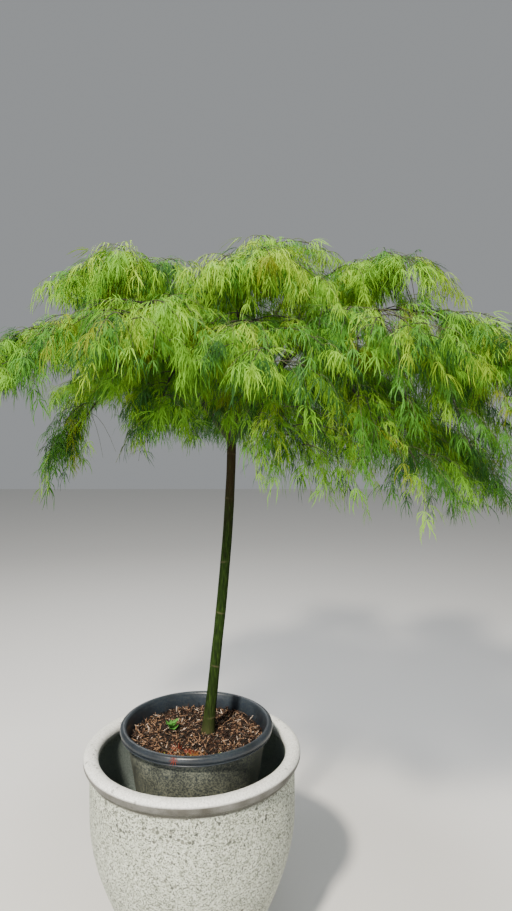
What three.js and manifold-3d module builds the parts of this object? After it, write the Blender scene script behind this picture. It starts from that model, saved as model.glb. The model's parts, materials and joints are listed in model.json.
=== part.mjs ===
// A weeping laceleaf maple grafted on a clear stem, in its black nursery pot, which stands on an upturned
// pot inside a speckled cream planter. Millimetres, +Z up. The origin is the middle of the planter's flat
// underside, +X runs to the right and +Y away from whoever faces the plant's front.
import * as THREE from 'three';
import { mergeVertices } from 'three/addons/utils/BufferGeometryUtils.js';
import Module from 'manifold-3d';

const wasm = await Module();
wasm.setup();

// Driving dimensions of the two pots and what is between them
const CLEAR = 0.3; // gap kept between pieces that touch
const planter = {
  height: 612, rimRadius: 305, mouthRadius: 263, neckRadius: 288, bellyRadius: 289, bellyHeight: 430,
  footRadius: 160, wall: 17, floor: 30, rimDepth: 37, segments: 32, join: 320,
  drainRadius: 12, drainCircle: 75, drains: 3,
};
const pot = {
  centreX: 11, rimTop: 679, rimRadius: 215, rimDepth: 26, shoulderRadius: 196, footRadius: 146,
  height: 364, wall: 4, floor: 6, segments: 32,
};
const riser = { mouthRadius: 138, headRadius: 108, wall: 4, head: 6, lip: 6, lipDepth: 16, segments: 20 };
const soil = { top: 635, slack: 0.35 };

// Driving dimensions of the tree. Reaches are measured in plan from the crown's axis.
const crown = { axisX: 112, axisY: 13 };
const trunk = {
  footX: 43, footRadius: 22, flareHeight: 45, stemRadius: 15.5, neckRadius: 12, graftHeight: 1515,
  graftRadius: 17.5, top: 1560, headRadius: 11, sides: 9,
};
const limb = { rootRadius: 7.5, tipRadius: 4.8, steps: 5 };
const sideLimb = { rootRadius: 6, tipRadius: 4.8, steps: 3 };
const limbSides = 5;
const limbSway = 9;
const stem = { rootRadius: 4.8, tipRadius: 4, sides: 4 };
const twig = { rootRadius: 2.6, tipRadius: 2.2, steps: 2, sides: 3 };
const leaf = { length: 150, width: 98, thick: 3.6, sunk: 0.5, rootVolume: 2, clear: 7 };
const leafRoom = 0.6; // how far a leaf or twig stays inside the faces of its mass's space

// The boughs and the mass of foliage that each one carries. bearing is in degrees, 0 to the right and 270 to
// the front. from is the limb that the bough leaves and at how far along it, from 0 to 1. tip is where the
// bough ends, reach and fall where the foliage's stem ends: a reach in plan, then a height. leave and arrive
// are the bough's slopes in degrees, spread is how far the side twigs go and twigs how many there are.
const boughs = [
  { name: 'left', bearing: 178, from: ['trunk', 0.90], tip: [350, 1800], reach: 605,
    fall: 1700, leave: 52, arrive: 6, spread: 200, twigs: 6 },
  { name: 'left_front', bearing: 214, from: ['bough_front_left', 0.30], tip: [350, 1770], reach: 575,
    fall: 1650, leave: 34, arrive: 4, spread: 190, twigs: 6 },
  { name: 'front_left', bearing: 248, from: ['trunk', 0.955], tip: [320, 1800], reach: 545,
    fall: 1725, leave: 54, arrive: 0, spread: 180, twigs: 6 },
  { name: 'front', bearing: 281, from: ['trunk', 0.91], tip: [300, 1765], reach: 520,
    fall: 1640, leave: 50, arrive: -2, spread: 180, twigs: 6 },
  { name: 'front_right', bearing: 311, from: ['bough_right', 0.28], tip: [345, 1790], reach: 575,
    fall: 1705, leave: 38, arrive: 0, spread: 190, twigs: 6 },
  { name: 'right', bearing: 340, from: ['trunk', 0.945], tip: [400, 1810], reach: 690,
    fall: 1690, leave: 48, arrive: 4, spread: 200, twigs: 6 },
  { name: 'right_back', bearing: 14, from: ['trunk', 0.905], tip: [400, 1770], reach: 690,
    fall: 1635, leave: 48, arrive: 4, spread: 200, twigs: 6 },
  { name: 'back_right', bearing: 50, from: ['trunk', 0.95], tip: [350, 1790], reach: 625,
    fall: 1660, leave: 52, arrive: 2, spread: 200, twigs: 6 },
  { name: 'back', bearing: 92, from: ['trunk', 0.90], tip: [330, 1805], reach: 590,
    fall: 1720, leave: 52, arrive: 2, spread: 200, twigs: 6 },
  { name: 'back_left', bearing: 135, from: ['trunk', 0.95], tip: [345, 1785], reach: 610,
    fall: 1650, leave: 50, arrive: 2, spread: 200, twigs: 6 },
  { name: 'top', bearing: 320, from: ['trunk', 1], tip: [40, 1895], reach: 150,
    fall: 1995, leave: 86, arrive: 62, spread: 195, twigs: 7 },
  { name: 'top_left', bearing: 170, from: ['bough_left', 0.34], tip: [200, 1912], reach: 370,
    fall: 1950, leave: 66, arrive: 26, spread: 165, twigs: 7 },
  { name: 'top_front_left', bearing: 230, from: ['bough_front_left', 0.42], tip: [215, 1885], reach: 385,
    fall: 1900, leave: 68, arrive: 22, spread: 175, twigs: 6 },
  { name: 'top_front', bearing: 282, from: ['bough_front', 0.38], tip: [200, 1875], reach: 385,
    fall: 1880, leave: 68, arrive: 22, spread: 175, twigs: 6 },
  { name: 'top_right', bearing: 345, from: ['bough_right', 0.44], tip: [265, 1912], reach: 470,
    fall: 1945, leave: 62, arrive: 24, spread: 175, twigs: 7 },
  { name: 'top_back_right', bearing: 42, from: ['bough_back_right', 0.4], tip: [245, 1910], reach: 470,
    fall: 1945, leave: 64, arrive: 24, spread: 185, twigs: 6 },
  { name: 'top_back', bearing: 108, from: ['bough_back', 0.4], tip: [235, 1910], reach: 450,
    fall: 1950, leave: 64, arrive: 24, spread: 185, twigs: 6 },
  { name: 'low_left', bearing: 188, from: ['bough_left', 0.62], tip: [345, 1610], reach: 455,
    fall: 1455, leave: -20, arrive: -56, spread: 130, twigs: 6 },
  { name: 'low_front_left', bearing: 240, from: ['bough_left_front', 0.36], tip: [285, 1630], reach: 352,
    fall: 1540, leave: -22, arrive: -42, spread: 80, twigs: 3 },
  { name: 'low_front_right', bearing: 291, from: ['bough_front', 0.55], tip: [290, 1595], reach: 430,
    fall: 1470, leave: -26, arrive: -50, spread: 150, twigs: 6 },
  { name: 'low_right', bearing: 325, from: ['bough_front_right', 0.5], tip: [380, 1600], reach: 545,
    fall: 1435, leave: -22, arrive: -45, spread: 160, twigs: 6 },
  { name: 'low_right_back', bearing: 358, from: ['bough_right_back', 0.55], tip: [440, 1605], reach: 625,
    fall: 1455, leave: -18, arrive: -46, spread: 155, twigs: 5 },
  { name: 'low_back_right', bearing: 42, from: ['bough_back_right', 0.52], tip: [370, 1615], reach: 550,
    fall: 1490, leave: -22, arrive: -42, spread: 155, twigs: 5 },
  { name: 'low_back', bearing: 98, from: ['bough_back', 0.5], tip: [345, 1620], reach: 500,
    fall: 1510, leave: -22, arrive: -42, spread: 155, twigs: 5 },
  { name: 'low_back_left', bearing: 124, from: ['bough_back_left', 0.52], tip: [345, 1640], reach: 485,
    fall: 1560, leave: -22, arrive: -45, spread: 155, twigs: 5 },
];

const colours = {
  planter: [0xd9d6c6, 0.62], pot: [0x23272b, 0.5], riser: [0x1f2224, 0.6], soil: [0x7a5238, 0.95],
  trunk: [0x4a5233, 0.85], bough: [0x3c3a2a, 0.85], foliage: [0x86ad33, 0.6],
};

const UP = new THREE.Vector3(0, 0, 1);
const part = new THREE.Group();

function addPiece(name, geometry, look) {
  const [color, roughness] = colours[look];
  const material = new THREE.MeshStandardMaterial({ color, roughness, metalness: 0, flatShading: true });
  const mesh = new THREE.Mesh(geometry, material);
  mesh.name = name;
  part.add(mesh);
}

// Even numbers from 0 to 1; the same seed always gives the same row of numbers.
function makeRandom(seed) {
  let state = seed >>> 0;
  return () => {
    state = (Math.imul(state, 1664525) + 1013904223) >>> 0;
    return state / 4294967296;
  };
}

// Solids and geometries, for the joins and cuts
function toSolid(geometry) {
  const bare = geometry.clone();
  bare.deleteAttribute('normal');
  bare.deleteAttribute('uv');
  const merged = mergeVertices(bare, 1e-4);
  return new wasm.Manifold(new wasm.Mesh({
    numProp: 3,
    vertProperties: new Float32Array(merged.attributes.position.array),
    triVerts: new Uint32Array(merged.index.array),
  }));
}

function toGeometry(solid) {
  const mesh = solid.getMesh();
  const geometry = new THREE.BufferGeometry();
  geometry.setAttribute('position', new THREE.BufferAttribute(new Float32Array(mesh.vertProperties), 3));
  geometry.setIndex(new THREE.BufferAttribute(new Uint32Array(mesh.triVerts), 1));
  return geometry;
}

// The largest of a solid's separate bodies: a cut can leave scraps.
function largestBody(solid) {
  return solid.decompose().reduce((best, body) => (body.volume() > best.volume() ? body : best));
}

// A profile of [radius, height] points that starts and ends on the axis, spun about +Z
function spin(profile, segments) {
  const points = profile.map(([radius, height]) => new THREE.Vector2(radius, height));
  return new THREE.LatheGeometry(points, segments).rotateX(Math.PI / 2);
}

// A limb through points, one radius at each, closed flat at both ends, with a flat of its side facing down
function taperedTube(points, radii, sides) {
  const position = [];
  const index = [];
  const across = new THREE.Vector3();
  points.forEach((point, i) => {
    const ahead = points[Math.min(i + 1, points.length - 1)].clone();
    const along = ahead.sub(points[Math.max(i - 1, 0)]).normalize();
    if (i === 0) across.crossVectors(along, Math.abs(along.z) < 0.9 ? UP : new THREE.Vector3(1, 0, 0));
    across.addScaledVector(along, -across.dot(along)).normalize();
    const other = new THREE.Vector3().crossVectors(along, across);
    for (let k = 0; k < sides; k++) {
      const angle = (2 * Math.PI * (k - 0.5)) / sides + Math.PI / 2;
      const rim = point.clone().addScaledVector(across, radii[i] * Math.cos(angle));
      rim.addScaledVector(other, radii[i] * Math.sin(angle));
      position.push(rim.x, rim.y, rim.z);
    }
  });
  for (let i = 0; i < points.length - 1; i++) {
    for (let k = 0; k < sides; k++) {
      const a = i * sides + k;
      const b = i * sides + ((k + 1) % sides);
      index.push(a, b, b + sides, a, b + sides, a + sides);
    }
  }
  const last = (points.length - 1) * sides;
  for (let k = 1; k < sides - 1; k++) {
    index.push(0, k + 1, k, last, last + k, last + k + 1);
  }
  const geometry = new THREE.BufferGeometry();
  geometry.setAttribute('position', new THREE.Float32BufferAttribute(position, 3));
  geometry.setIndex(index);
  return geometry;
}

// The planter: a wall of even thickness under a rolled rim, on a floor with drain holes. It is in three
// pieces, its floor and the wall below and above the join.
function makePlanter() {
  const p = planter;
  const rimFoot = p.height - p.rimDepth;
  const belly = new THREE.CubicBezierCurve(
    new THREE.Vector2(p.footRadius + 6, 6),
    new THREE.Vector2(p.footRadius + 24, 120),
    new THREE.Vector2(p.bellyRadius, 0.6 * p.bellyHeight),
    new THREE.Vector2(p.bellyRadius, p.bellyHeight),
  ).getPoints(6).map((point) => [point.x, point.y]);
  const inside = belly.filter(([, height]) => height > p.floor + 20)
    .map(([radius, height]) => [radius - p.wall, height]).reverse();
  const profile = [
    [0, 0], [p.footRadius, 0], ...belly,
    [p.neckRadius, rimFoot - 6], [p.rimRadius - 5, rimFoot + 5], [p.rimRadius, rimFoot + 13],
    [p.rimRadius, p.height - 13], [p.rimRadius - 5, p.height - 4], [p.rimRadius - 15, p.height],
    [p.mouthRadius + 10, p.height], [p.mouthRadius, p.height - 9],
    [p.mouthRadius, rimFoot + 10], [p.neckRadius - p.wall, rimFoot - 4],
    ...inside,
    [p.footRadius - 4, p.floor], [0, p.floor],
  ];
  const wall = toSolid(spin(profile, p.segments)).trimByPlane([0, 0, 1], p.floor + CLEAR);
  const [[footRadius, footHeight], [nextRadius, nextHeight]] = belly;
  const edge = footRadius + ((nextRadius - footRadius) * (p.floor - footHeight)) / (nextHeight - footHeight);
  const disc = [[0, 0], [p.footRadius, 0], [footRadius, footHeight], [edge, p.floor], [0, p.floor]];
  let base = toSolid(spin(disc, p.segments));
  for (let k = 0; k < p.drains; k++) {
    const angle = (2 * Math.PI * (k + 0.5)) / p.drains;
    const hole = new THREE.CylinderGeometry(p.drainRadius, p.drainRadius, 3 * p.floor, 12);
    hole.rotateX(Math.PI / 2).translate(p.drainCircle * Math.cos(angle), p.drainCircle * Math.sin(angle), 0);
    base = base.subtract(toSolid(hole));
  }
  addPiece('planter_floor', toGeometry(base), 'planter');
  addPiece('planter_lower', toGeometry(wall.trimByPlane([0, 0, -1], -p.join)), 'planter');
  addPiece('planter_upper', toGeometry(wall.trimByPlane([0, 0, 1], p.join + CLEAR)), 'planter');
}

// The nursery pot: a thin tapering wall that turns out and over into a rolled rim
function potWallRadius(height) {
  const foot = pot.rimTop - pot.height;
  const share = (height - foot) / (pot.height - pot.rimDepth);
  return pot.footRadius + (pot.shoulderRadius - pot.footRadius) * share;
}

function makeNurseryPot() {
  const foot = pot.rimTop - pot.height;
  const rimFoot = pot.rimTop - pot.rimDepth;
  const profile = [
    [0, foot], [pot.footRadius, foot],
    [pot.shoulderRadius, rimFoot], [pot.rimRadius - 3, rimFoot], [pot.rimRadius, rimFoot + 4],
    [pot.rimRadius, pot.rimTop - 11], [pot.rimRadius - 4, pot.rimTop - 3], [pot.rimRadius - 10, pot.rimTop],
    [pot.shoulderRadius + 3, pot.rimTop - 1], [pot.shoulderRadius - 1, pot.rimTop - 6],
    [potWallRadius(pot.rimTop - 20) - pot.wall, pot.rimTop - 20],
    [potWallRadius(foot + pot.floor) - pot.wall, foot + pot.floor], [0, foot + pot.floor],
  ];
  addPiece('nursery_pot', spin(profile, pot.segments).translate(pot.centreX, 0, 0), 'pot');
}

function makePottingMix() {
  const bottom = pot.rimTop - pot.height + pot.floor + CLEAR;
  const radius = (height) => potWallRadius(height) - pot.wall - soil.slack;
  const deep = soil.top - bottom;
  const geometry = new THREE.CylinderGeometry(radius(soil.top), radius(bottom), deep, pot.segments);
  geometry.rotateX(Math.PI / 2).translate(pot.centreX, 0, (soil.top + bottom) / 2);
  addPiece('potting_mix', geometry, 'soil');
}

// The riser: an upturned pot on the planter's floor, whose closed end carries the nursery pot. Its wall and
// its end are two pieces.
function makeRiser() {
  const r = riser;
  const bottom = planter.floor + CLEAR;
  const top = pot.rimTop - pot.height - CLEAR;
  const under = top - r.head;
  const edge = r.headRadius + ((r.mouthRadius - r.headRadius) * r.head) / (top - bottom - r.lipDepth);
  const section = [
    [r.mouthRadius - r.wall, bottom], [r.mouthRadius + r.lip, bottom],
    [r.mouthRadius + r.lip, bottom + r.lipDepth], [r.mouthRadius, bottom + r.lipDepth],
    [edge, under - CLEAR], [edge - r.wall, under - CLEAR], [r.mouthRadius - r.wall, bottom],
  ];
  addPiece('upturned_pot_wall', spin(section, r.segments), 'riser');
  const end = [[0, under], [edge, under], [r.headRadius, top], [0, top]];
  addPiece('upturned_pot_end', spin(end, r.segments), 'riser');
}

function polar(bearing, reach, height) {
  const angle = THREE.MathUtils.degToRad(bearing);
  const across = crown.axisX + reach * Math.cos(angle);
  const back = crown.axisY + reach * Math.sin(angle);
  return new THREE.Vector3(across, back, height);
}

// The trunk leans to the right from the pot and stands straight under the crown
function trunkCentre(share) {
  const bend = Math.sin((share * Math.PI) / 2) ** 1.15;
  const height = soil.top + CLEAR + share * (trunk.top - soil.top - CLEAR);
  return new THREE.Vector3(trunk.footX + (crown.axisX - trunk.footX) * bend, crown.axisY, height);
}

function trunkRadius(share) {
  const height = share * (trunk.top - soil.top);
  const flare = (trunk.footRadius - trunk.stemRadius) * Math.exp(-height / trunk.flareHeight);
  const taper = trunk.stemRadius + (trunk.neckRadius - trunk.stemRadius) * share;
  const fromGraft = (soil.top + height - trunk.graftHeight) / 32;
  const graft = (trunk.graftRadius - trunk.neckRadius) * Math.exp(-fromGraft * fromGraft);
  const head = share < 1 ? 1 : trunk.headRadius / trunk.neckRadius;
  return (taper + flare + graft) * head;
}

// A limb is { points, radii }: a chain of places along its middle, with its radius at each.
function makeTrunkLimb() {
  const shares = [0, 0.025, 0.07, 0.16, 0.3, 0.45, 0.6, 0.75, 0.88, 0.92, 0.95, 0.98, 1];
  const points = shares.map(trunkCentre);
  points[0].z -= 12;
  return { points, radii: shares.map(trunkRadius) };
}

// The place at a share of a chain's length
function placeAlong(chain, share) {
  const { points } = chain;
  const lengths = points.slice(1).map((point, i) => point.distanceTo(points[i]));
  const total = lengths.reduce((sum, length) => sum + length, 0);
  let left = Math.min(Math.max(share, 0), 1) * total;
  let i = 0;
  while (i < lengths.length - 1 && left > lengths[i]) {
    left -= lengths[i];
    i += 1;
  }
  return points[i].clone().lerp(points[i + 1], left / lengths[i]);
}

// A bough leaves its parent at one slope, reaches its tip at another and sways a little on the way.
function growBough(row, limbs, order) {
  const [parent, share] = row.from;
  const start = parent === 'trunk' ? trunkCentre(share) : placeAlong(limbs.get(parent), share);
  const end = polar(row.bearing, ...row.tip);
  const length = start.distanceTo(end);
  const out = end.clone().sub(start).setZ(0).normalize();
  const slope = (degrees) => {
    const angle = THREE.MathUtils.degToRad(degrees);
    return out.clone().multiplyScalar(Math.cos(angle)).addScaledVector(UP, Math.sin(angle));
  };
  const curve = new THREE.CubicBezierCurve3(
    start,
    start.clone().addScaledVector(slope(row.leave), 0.36 * length),
    end.clone().addScaledVector(slope(row.arrive), -0.34 * length),
    end,
  );
  const sideways = new THREE.Vector3().crossVectors(UP, out);
  const size = parent === 'trunk' ? limb : sideLimb;
  const points = [];
  const radii = [];
  for (let k = 0; k <= size.steps; k++) {
    const t = k / size.steps;
    const sway = limbSway * Math.sin(4.2 * t + 1.7 * order) * 4 * t * (1 - t);
    points.push(curve.getPoint(t).addScaledVector(sideways, sway));
    radii.push(size.rootRadius + (size.tipRadius - size.rootRadius) * t);
  }
  return { points, radii };
}

// The stem of a mass goes on from its bough's tip and bends over to where the foliage ends. Its first step
// is short, so that the two ends face each other squarely.
function growStem(row, bough) {
  const tip = bough.points.at(-1);
  const along = tip.clone().sub(bough.points.at(-2)).normalize();
  const start = tip.clone().addScaledVector(along, CLEAR);
  const end = polar(row.bearing, row.reach, row.fall);
  const bend = start.clone().addScaledVector(along, 0.5 * start.distanceTo(end));
  const curve = new THREE.QuadraticBezierCurve3(start, bend, end);
  const shares = [0, 0.04, 0.36, 0.7, 1];
  const points = shares.map((share) => curve.getPoint(share));
  const radii = shares.map((share) => stem.rootRadius + (stem.tipRadius - stem.rootRadius) * share);
  return { points, radii };
}

// Side twigs leave the stem to alternate sides, rise a little and bend over under their own weight.
function growTwigs(row, stemChain, random) {
  const twigs = [];
  for (let i = 0; i < row.twigs; i++) {
    const share = (i + 0.35) / (row.twigs - 0.3);
    const start = placeAlong(stemChain, share);
    const ahead = placeAlong(stemChain, share + 0.1).sub(placeAlong(stemChain, share - 0.1));
    const side = i % 2 ? 1 : -1;
    const turn = THREE.MathUtils.degToRad(side * (38 + 40 * random()));
    const out = ahead.setZ(0).normalize().applyAxisAngle(UP, turn);
    const length = row.spread * (0.75 + 0.45 * random()) * (1 - 0.3 * share);
    const rise = 0.2 + 0.25 * random();
    const droop = 0.5 + 0.3 * random();
    const points = [];
    for (let k = 0; k <= twig.steps; k++) {
      const s = k / twig.steps;
      const lift = length * (rise * s - droop * s * s);
      points.push(start.clone().addScaledVector(out, length * s).addScaledVector(UP, lift));
    }
    const taper = (twig.tipRadius - twig.rootRadius) / twig.steps;
    const radii = points.map((_, k) => twig.rootRadius + taper * k);
    twigs.push({ points, radii, out, side });
  }
  return twigs;
}

// A hanging leaf: a flat kite from its root in the twig down to its tip, thickest in the middle
function leafAt(place, hang, face, size) {
  const across = new THREE.Vector3().crossVectors(hang, face);
  const at = (x, y, z) => place.clone()
    .addScaledVector(across, x).addScaledVector(hang, y).addScaledVector(face, z);
  const { thick, sunk } = leaf;
  const length = leaf.length * size;
  const width = leaf.width * size;
  const outline = [
    at(0, -sunk, 0), at(0.5 * width, 0.5 * length, 0), at(0, length, 0), at(-0.5 * width, 0.5 * length, 0),
  ];
  const front = at(0, 0.3 * length, 0.5 * thick);
  const back = at(0, 0.3 * length, -0.5 * thick);
  const corners = [...outline, front, back];
  const position = corners.flatMap((corner) => [corner.x, corner.y, corner.z]);
  const count = outline.length;
  const index = outline.flatMap((_, k) => [k, (k + 1) % count, count, (k + 1) % count, k, count + 1]);
  const geometry = new THREE.BufferGeometry();
  geometry.setAttribute('position', new THREE.Float32BufferAttribute(position, 3));
  geometry.setIndex(index);
  return { geometry, corners, ribs: [outline[1], outline[2], outline[3]].map((tip) => [place, tip]) };
}

// One leaf at each share of a twig, hung a little outward and to one side, its face turned out of the crown
function leafPosesOn(chain, shares, out) {
  return shares.map((share, k) => ({ place: placeAlong(chain, share), out, side: k % 2 ? 1 : -1 }));
}

function hangLeaf({ place, out, side }, size, random) {
  const aside = new THREE.Vector3().crossVectors(UP, out).multiplyScalar(side);
  const hang = new THREE.Vector3(0, 0, -1).addScaledVector(aside, 0.6 * random());
  hang.addScaledVector(out, 0.1 + 0.6 * random()).normalize();
  const radial = place.clone().sub(polar(0, 0, place.z)).normalize();
  const face = radial.applyAxisAngle(UP, 1.6 * (random() - 0.5));
  face.addScaledVector(hang, -face.dot(hang)).normalize();
  return leafAt(place, hang, face, size);
}

// How near two straight stretches come to each other
function gapBetween([a, b], [c, d]) {
  const u = b.clone().sub(a);
  const v = d.clone().sub(c);
  const w = a.clone().sub(c);
  const [uu, uv, vv, uw, vw] = [u.dot(u), u.dot(v), v.dot(v), u.dot(w), v.dot(w)];
  const spread = uu * vv - uv * uv;
  const clamp = (value) => Math.min(1, Math.max(0, value));
  let s = spread > 1e-6 ? clamp((uv * vw - vv * uw) / spread) : 0;
  const t = clamp((uv * s + vw) / vv);
  s = clamp((uv * t - uw) / uu);
  return a.clone().addScaledVector(u, s).distanceTo(c.clone().addScaledVector(v, t));
}

function touchesLimb(stretches, room, limbs) {
  for (const { points, radii } of limbs.values()) {
    for (let i = 0; i < points.length - 1; i++) {
      const reach = Math.max(radii[i], radii[i + 1]) + room;
      if (stretches.some((stretch) => gapBetween(stretch, [points[i], points[i + 1]]) < reach)) return true;
    }
  }
  return false;
}

// A mass keeps to the places that lie nearer to its own heart than to any other mass's.
function staysInside(corners, heart, hearts) {
  return hearts.every((other) => {
    if (other === heart) return true;
    const middle = heart.clone().lerp(other, 0.5);
    const away = other.clone().sub(heart).normalize();
    return corners.every((corner) => corner.clone().sub(middle).dot(away) < -leafRoom);
  });
}

function stretchesOf(points) {
  return points.slice(1).map((point, i) => [points[i], point]);
}

// Each leaf is tried a few ways, smaller every time, so that none crosses a leaf that is there already.
function makeMass(row, order, stemChain, limbs, hearts) {
  const heart = hearts[order];
  const random = makeRandom(101 + 17 * order);
  const twigs = growTwigs(row, stemChain, random);
  const kept = twigs.filter(({ points }) => staysInside(points, heart, hearts)
    && !touchesLimb(stretchesOf(points), twig.rootRadius + 1.5, limbs));
  const stemOut = stemChain.points.at(-1).clone().sub(stemChain.points[0]).setZ(0).normalize();
  const poses = leafPosesOn(stemChain, [0.34, 0.56, 0.78, 0.98], stemOut);
  kept.forEach((chain) => poses.push(...leafPosesOn(chain, [0.36, 0.67, 0.97], chain.out)));
  let wood = toSolid(taperedTube(stemChain.points, stemChain.radii, stem.sides));
  kept.forEach(({ points, radii }) => {
    wood = wood.add(toSolid(taperedTube(points, radii, twig.sides)));
  });
  let foliage = null;
  poses.forEach((pose) => {
    for (let attempt = 0; attempt < 9; attempt++) {
      const { geometry, corners, ribs } = hangLeaf(pose, 1 - 0.06 * attempt, random);
      if (!staysInside(corners, heart, hearts) || touchesLimb(ribs, leaf.clear, limbs)) continue;
      const solid = toSolid(geometry);
      if (wood.intersect(solid).volume() > leaf.rootVolume) continue;
      if (foliage && !foliage.intersect(solid).isEmpty()) continue;
      foliage = foliage ? foliage.add(solid) : solid;
      return;
    }
  });
  addPiece('mass_' + row.name, toGeometry(largestBody(wood.add(foliage))), 'foliage');
}

function makeTree() {
  const limbs = new Map();
  const trunkLimb = makeTrunkLimb();
  limbs.set('trunk', trunkLimb);
  const trunkSolid = toSolid(taperedTube(trunkLimb.points, trunkLimb.radii, trunk.sides));
  addPiece('trunk', toGeometry(trunkSolid.trimByPlane([0, 0, 1], soil.top + CLEAR)), 'trunk');
  const grown = [...boughs].sort((a, b) => (a.from[0] === 'trunk' ? 0 : 1) - (b.from[0] === 'trunk' ? 0 : 1)
    || (a.from[0] === 'bough_left_front' ? 1 : 0) - (b.from[0] === 'bough_left_front' ? 1 : 0));
  grown.forEach((row) => {
    const chain = growBough(row, limbs, boughs.indexOf(row));
    limbs.set('bough_' + row.name, chain);
  });
  // Each bough is cut to fit what it leaves, a hair clear of it.
  grown.forEach((row, i) => {
    const chain = limbs.get('bough_' + row.name);
    let solid = toSolid(taperedTube(chain.points, chain.radii, limbSides));
    ['trunk', ...grown.slice(0, i).map((other) => 'bough_' + other.name)].forEach((name) => {
      const other = limbs.get(name);
      const wider = other.radii.map((radius) => radius + CLEAR / Math.cos(Math.PI / limbSides));
      const sides = name === 'trunk' ? trunk.sides : limbSides;
      solid = solid.subtract(toSolid(taperedTube(other.points, wider, sides)));
    });
    addPiece('bough_' + row.name, toGeometry(largestBody(solid)), 'bough');
  });
  const stems = boughs.map((row) => growStem(row, limbs.get('bough_' + row.name)));
  const hearts = stems.map((chain) => placeAlong(chain, 0.55).addScaledVector(UP, -35));
  boughs.forEach((row, order) => makeMass(row, order, stems[order], limbs, hearts));
}

makePlanter();
makeNurseryPot();
makePottingMix();
makeRiser();
makeTree();

export default part;
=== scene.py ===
import json
from functools import partial
import bpy
import numpy as np
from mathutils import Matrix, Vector

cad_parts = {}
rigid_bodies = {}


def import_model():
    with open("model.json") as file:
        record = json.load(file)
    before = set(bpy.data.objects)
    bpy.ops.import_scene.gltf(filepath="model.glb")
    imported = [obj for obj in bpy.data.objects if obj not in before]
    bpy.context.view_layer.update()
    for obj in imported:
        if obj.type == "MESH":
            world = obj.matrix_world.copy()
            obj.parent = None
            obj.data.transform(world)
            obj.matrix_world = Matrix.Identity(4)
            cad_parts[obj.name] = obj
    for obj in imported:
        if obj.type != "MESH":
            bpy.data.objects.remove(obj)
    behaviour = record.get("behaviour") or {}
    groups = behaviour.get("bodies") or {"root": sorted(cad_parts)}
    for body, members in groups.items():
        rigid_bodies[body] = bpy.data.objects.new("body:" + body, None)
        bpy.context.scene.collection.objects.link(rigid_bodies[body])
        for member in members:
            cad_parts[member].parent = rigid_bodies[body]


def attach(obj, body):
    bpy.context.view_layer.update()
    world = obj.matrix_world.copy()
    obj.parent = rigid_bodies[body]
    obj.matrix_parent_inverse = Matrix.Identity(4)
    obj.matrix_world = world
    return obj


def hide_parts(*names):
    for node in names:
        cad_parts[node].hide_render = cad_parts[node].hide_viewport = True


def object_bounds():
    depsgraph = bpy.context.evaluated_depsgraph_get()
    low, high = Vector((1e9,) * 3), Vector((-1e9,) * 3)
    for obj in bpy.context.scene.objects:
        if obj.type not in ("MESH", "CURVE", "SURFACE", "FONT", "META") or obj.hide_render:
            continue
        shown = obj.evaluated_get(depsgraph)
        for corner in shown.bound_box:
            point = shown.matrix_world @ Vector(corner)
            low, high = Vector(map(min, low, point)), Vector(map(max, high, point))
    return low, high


# A weeping cut-leaf maple on a tall bare stem, in its nursery pot, set into a speckled cream planter.
# Metres, +Z up, with the origin under the middle of the planter. The tree's own sizes are in millimetres.
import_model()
cadLow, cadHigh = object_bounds()
mm = 0.001
up = np.array([0.0, 0.0, 1.0])
camera = {"place": (0.179, -1.893, 1.55), "pitch": 3.556, "focalPixels": 684, "widthPixels": 512,
          "heightPixels": 911}


# Small helpers

def toLinear(hexColour):
    # sRGB hex to linear light: the usual curve, a straight foot and a power of 2.4 above it
    channels = [int(hexColour[i:i + 2], 16) / 255 for i in (1, 3, 5)]
    return [c / 12.92 if c <= 0.04045 else ((c + 0.055) / 1.055) ** 2.4 for c in channels] + [1.0]


def addNode(tree, kind, settings=None, links=None):
    # a shader node with its settings, inputs by name or number, a ramp's stops as (place, hex colour), and
    # what is linked into its inputs: a socket, or a node that stands for its first output
    node = tree.nodes.new("ShaderNode" + kind)
    for key, value in (settings or {}).items():
        if key == "stops":
            elements = node.color_ramp.elements
            while len(elements) < len(value):
                elements.new(0.5)
            for element, (place, colour) in zip(elements, value):
                element.position = place
                element.color = toLinear(colour)
        elif isinstance(key, str) and hasattr(node, key):
            setattr(node, key, value)
        else:
            node.inputs[key].default_value = value
    for key, source in (links or {}).items():
        tree.links.new(source.outputs[0] if hasattr(source, "outputs") else source, node.inputs[key])
    return node


def startMaterial(name):
    # an empty material, and addNode for its own tree
    material = bpy.data.materials.new(name)
    material.use_nodes = True
    material.node_tree.nodes.clear()
    return material, partial(addNode, material.node_tree)


def unit(rows):
    # each row over its own length
    return rows / np.maximum(np.linalg.norm(rows, axis=-1, keepdims=True), 1e-12)


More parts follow.
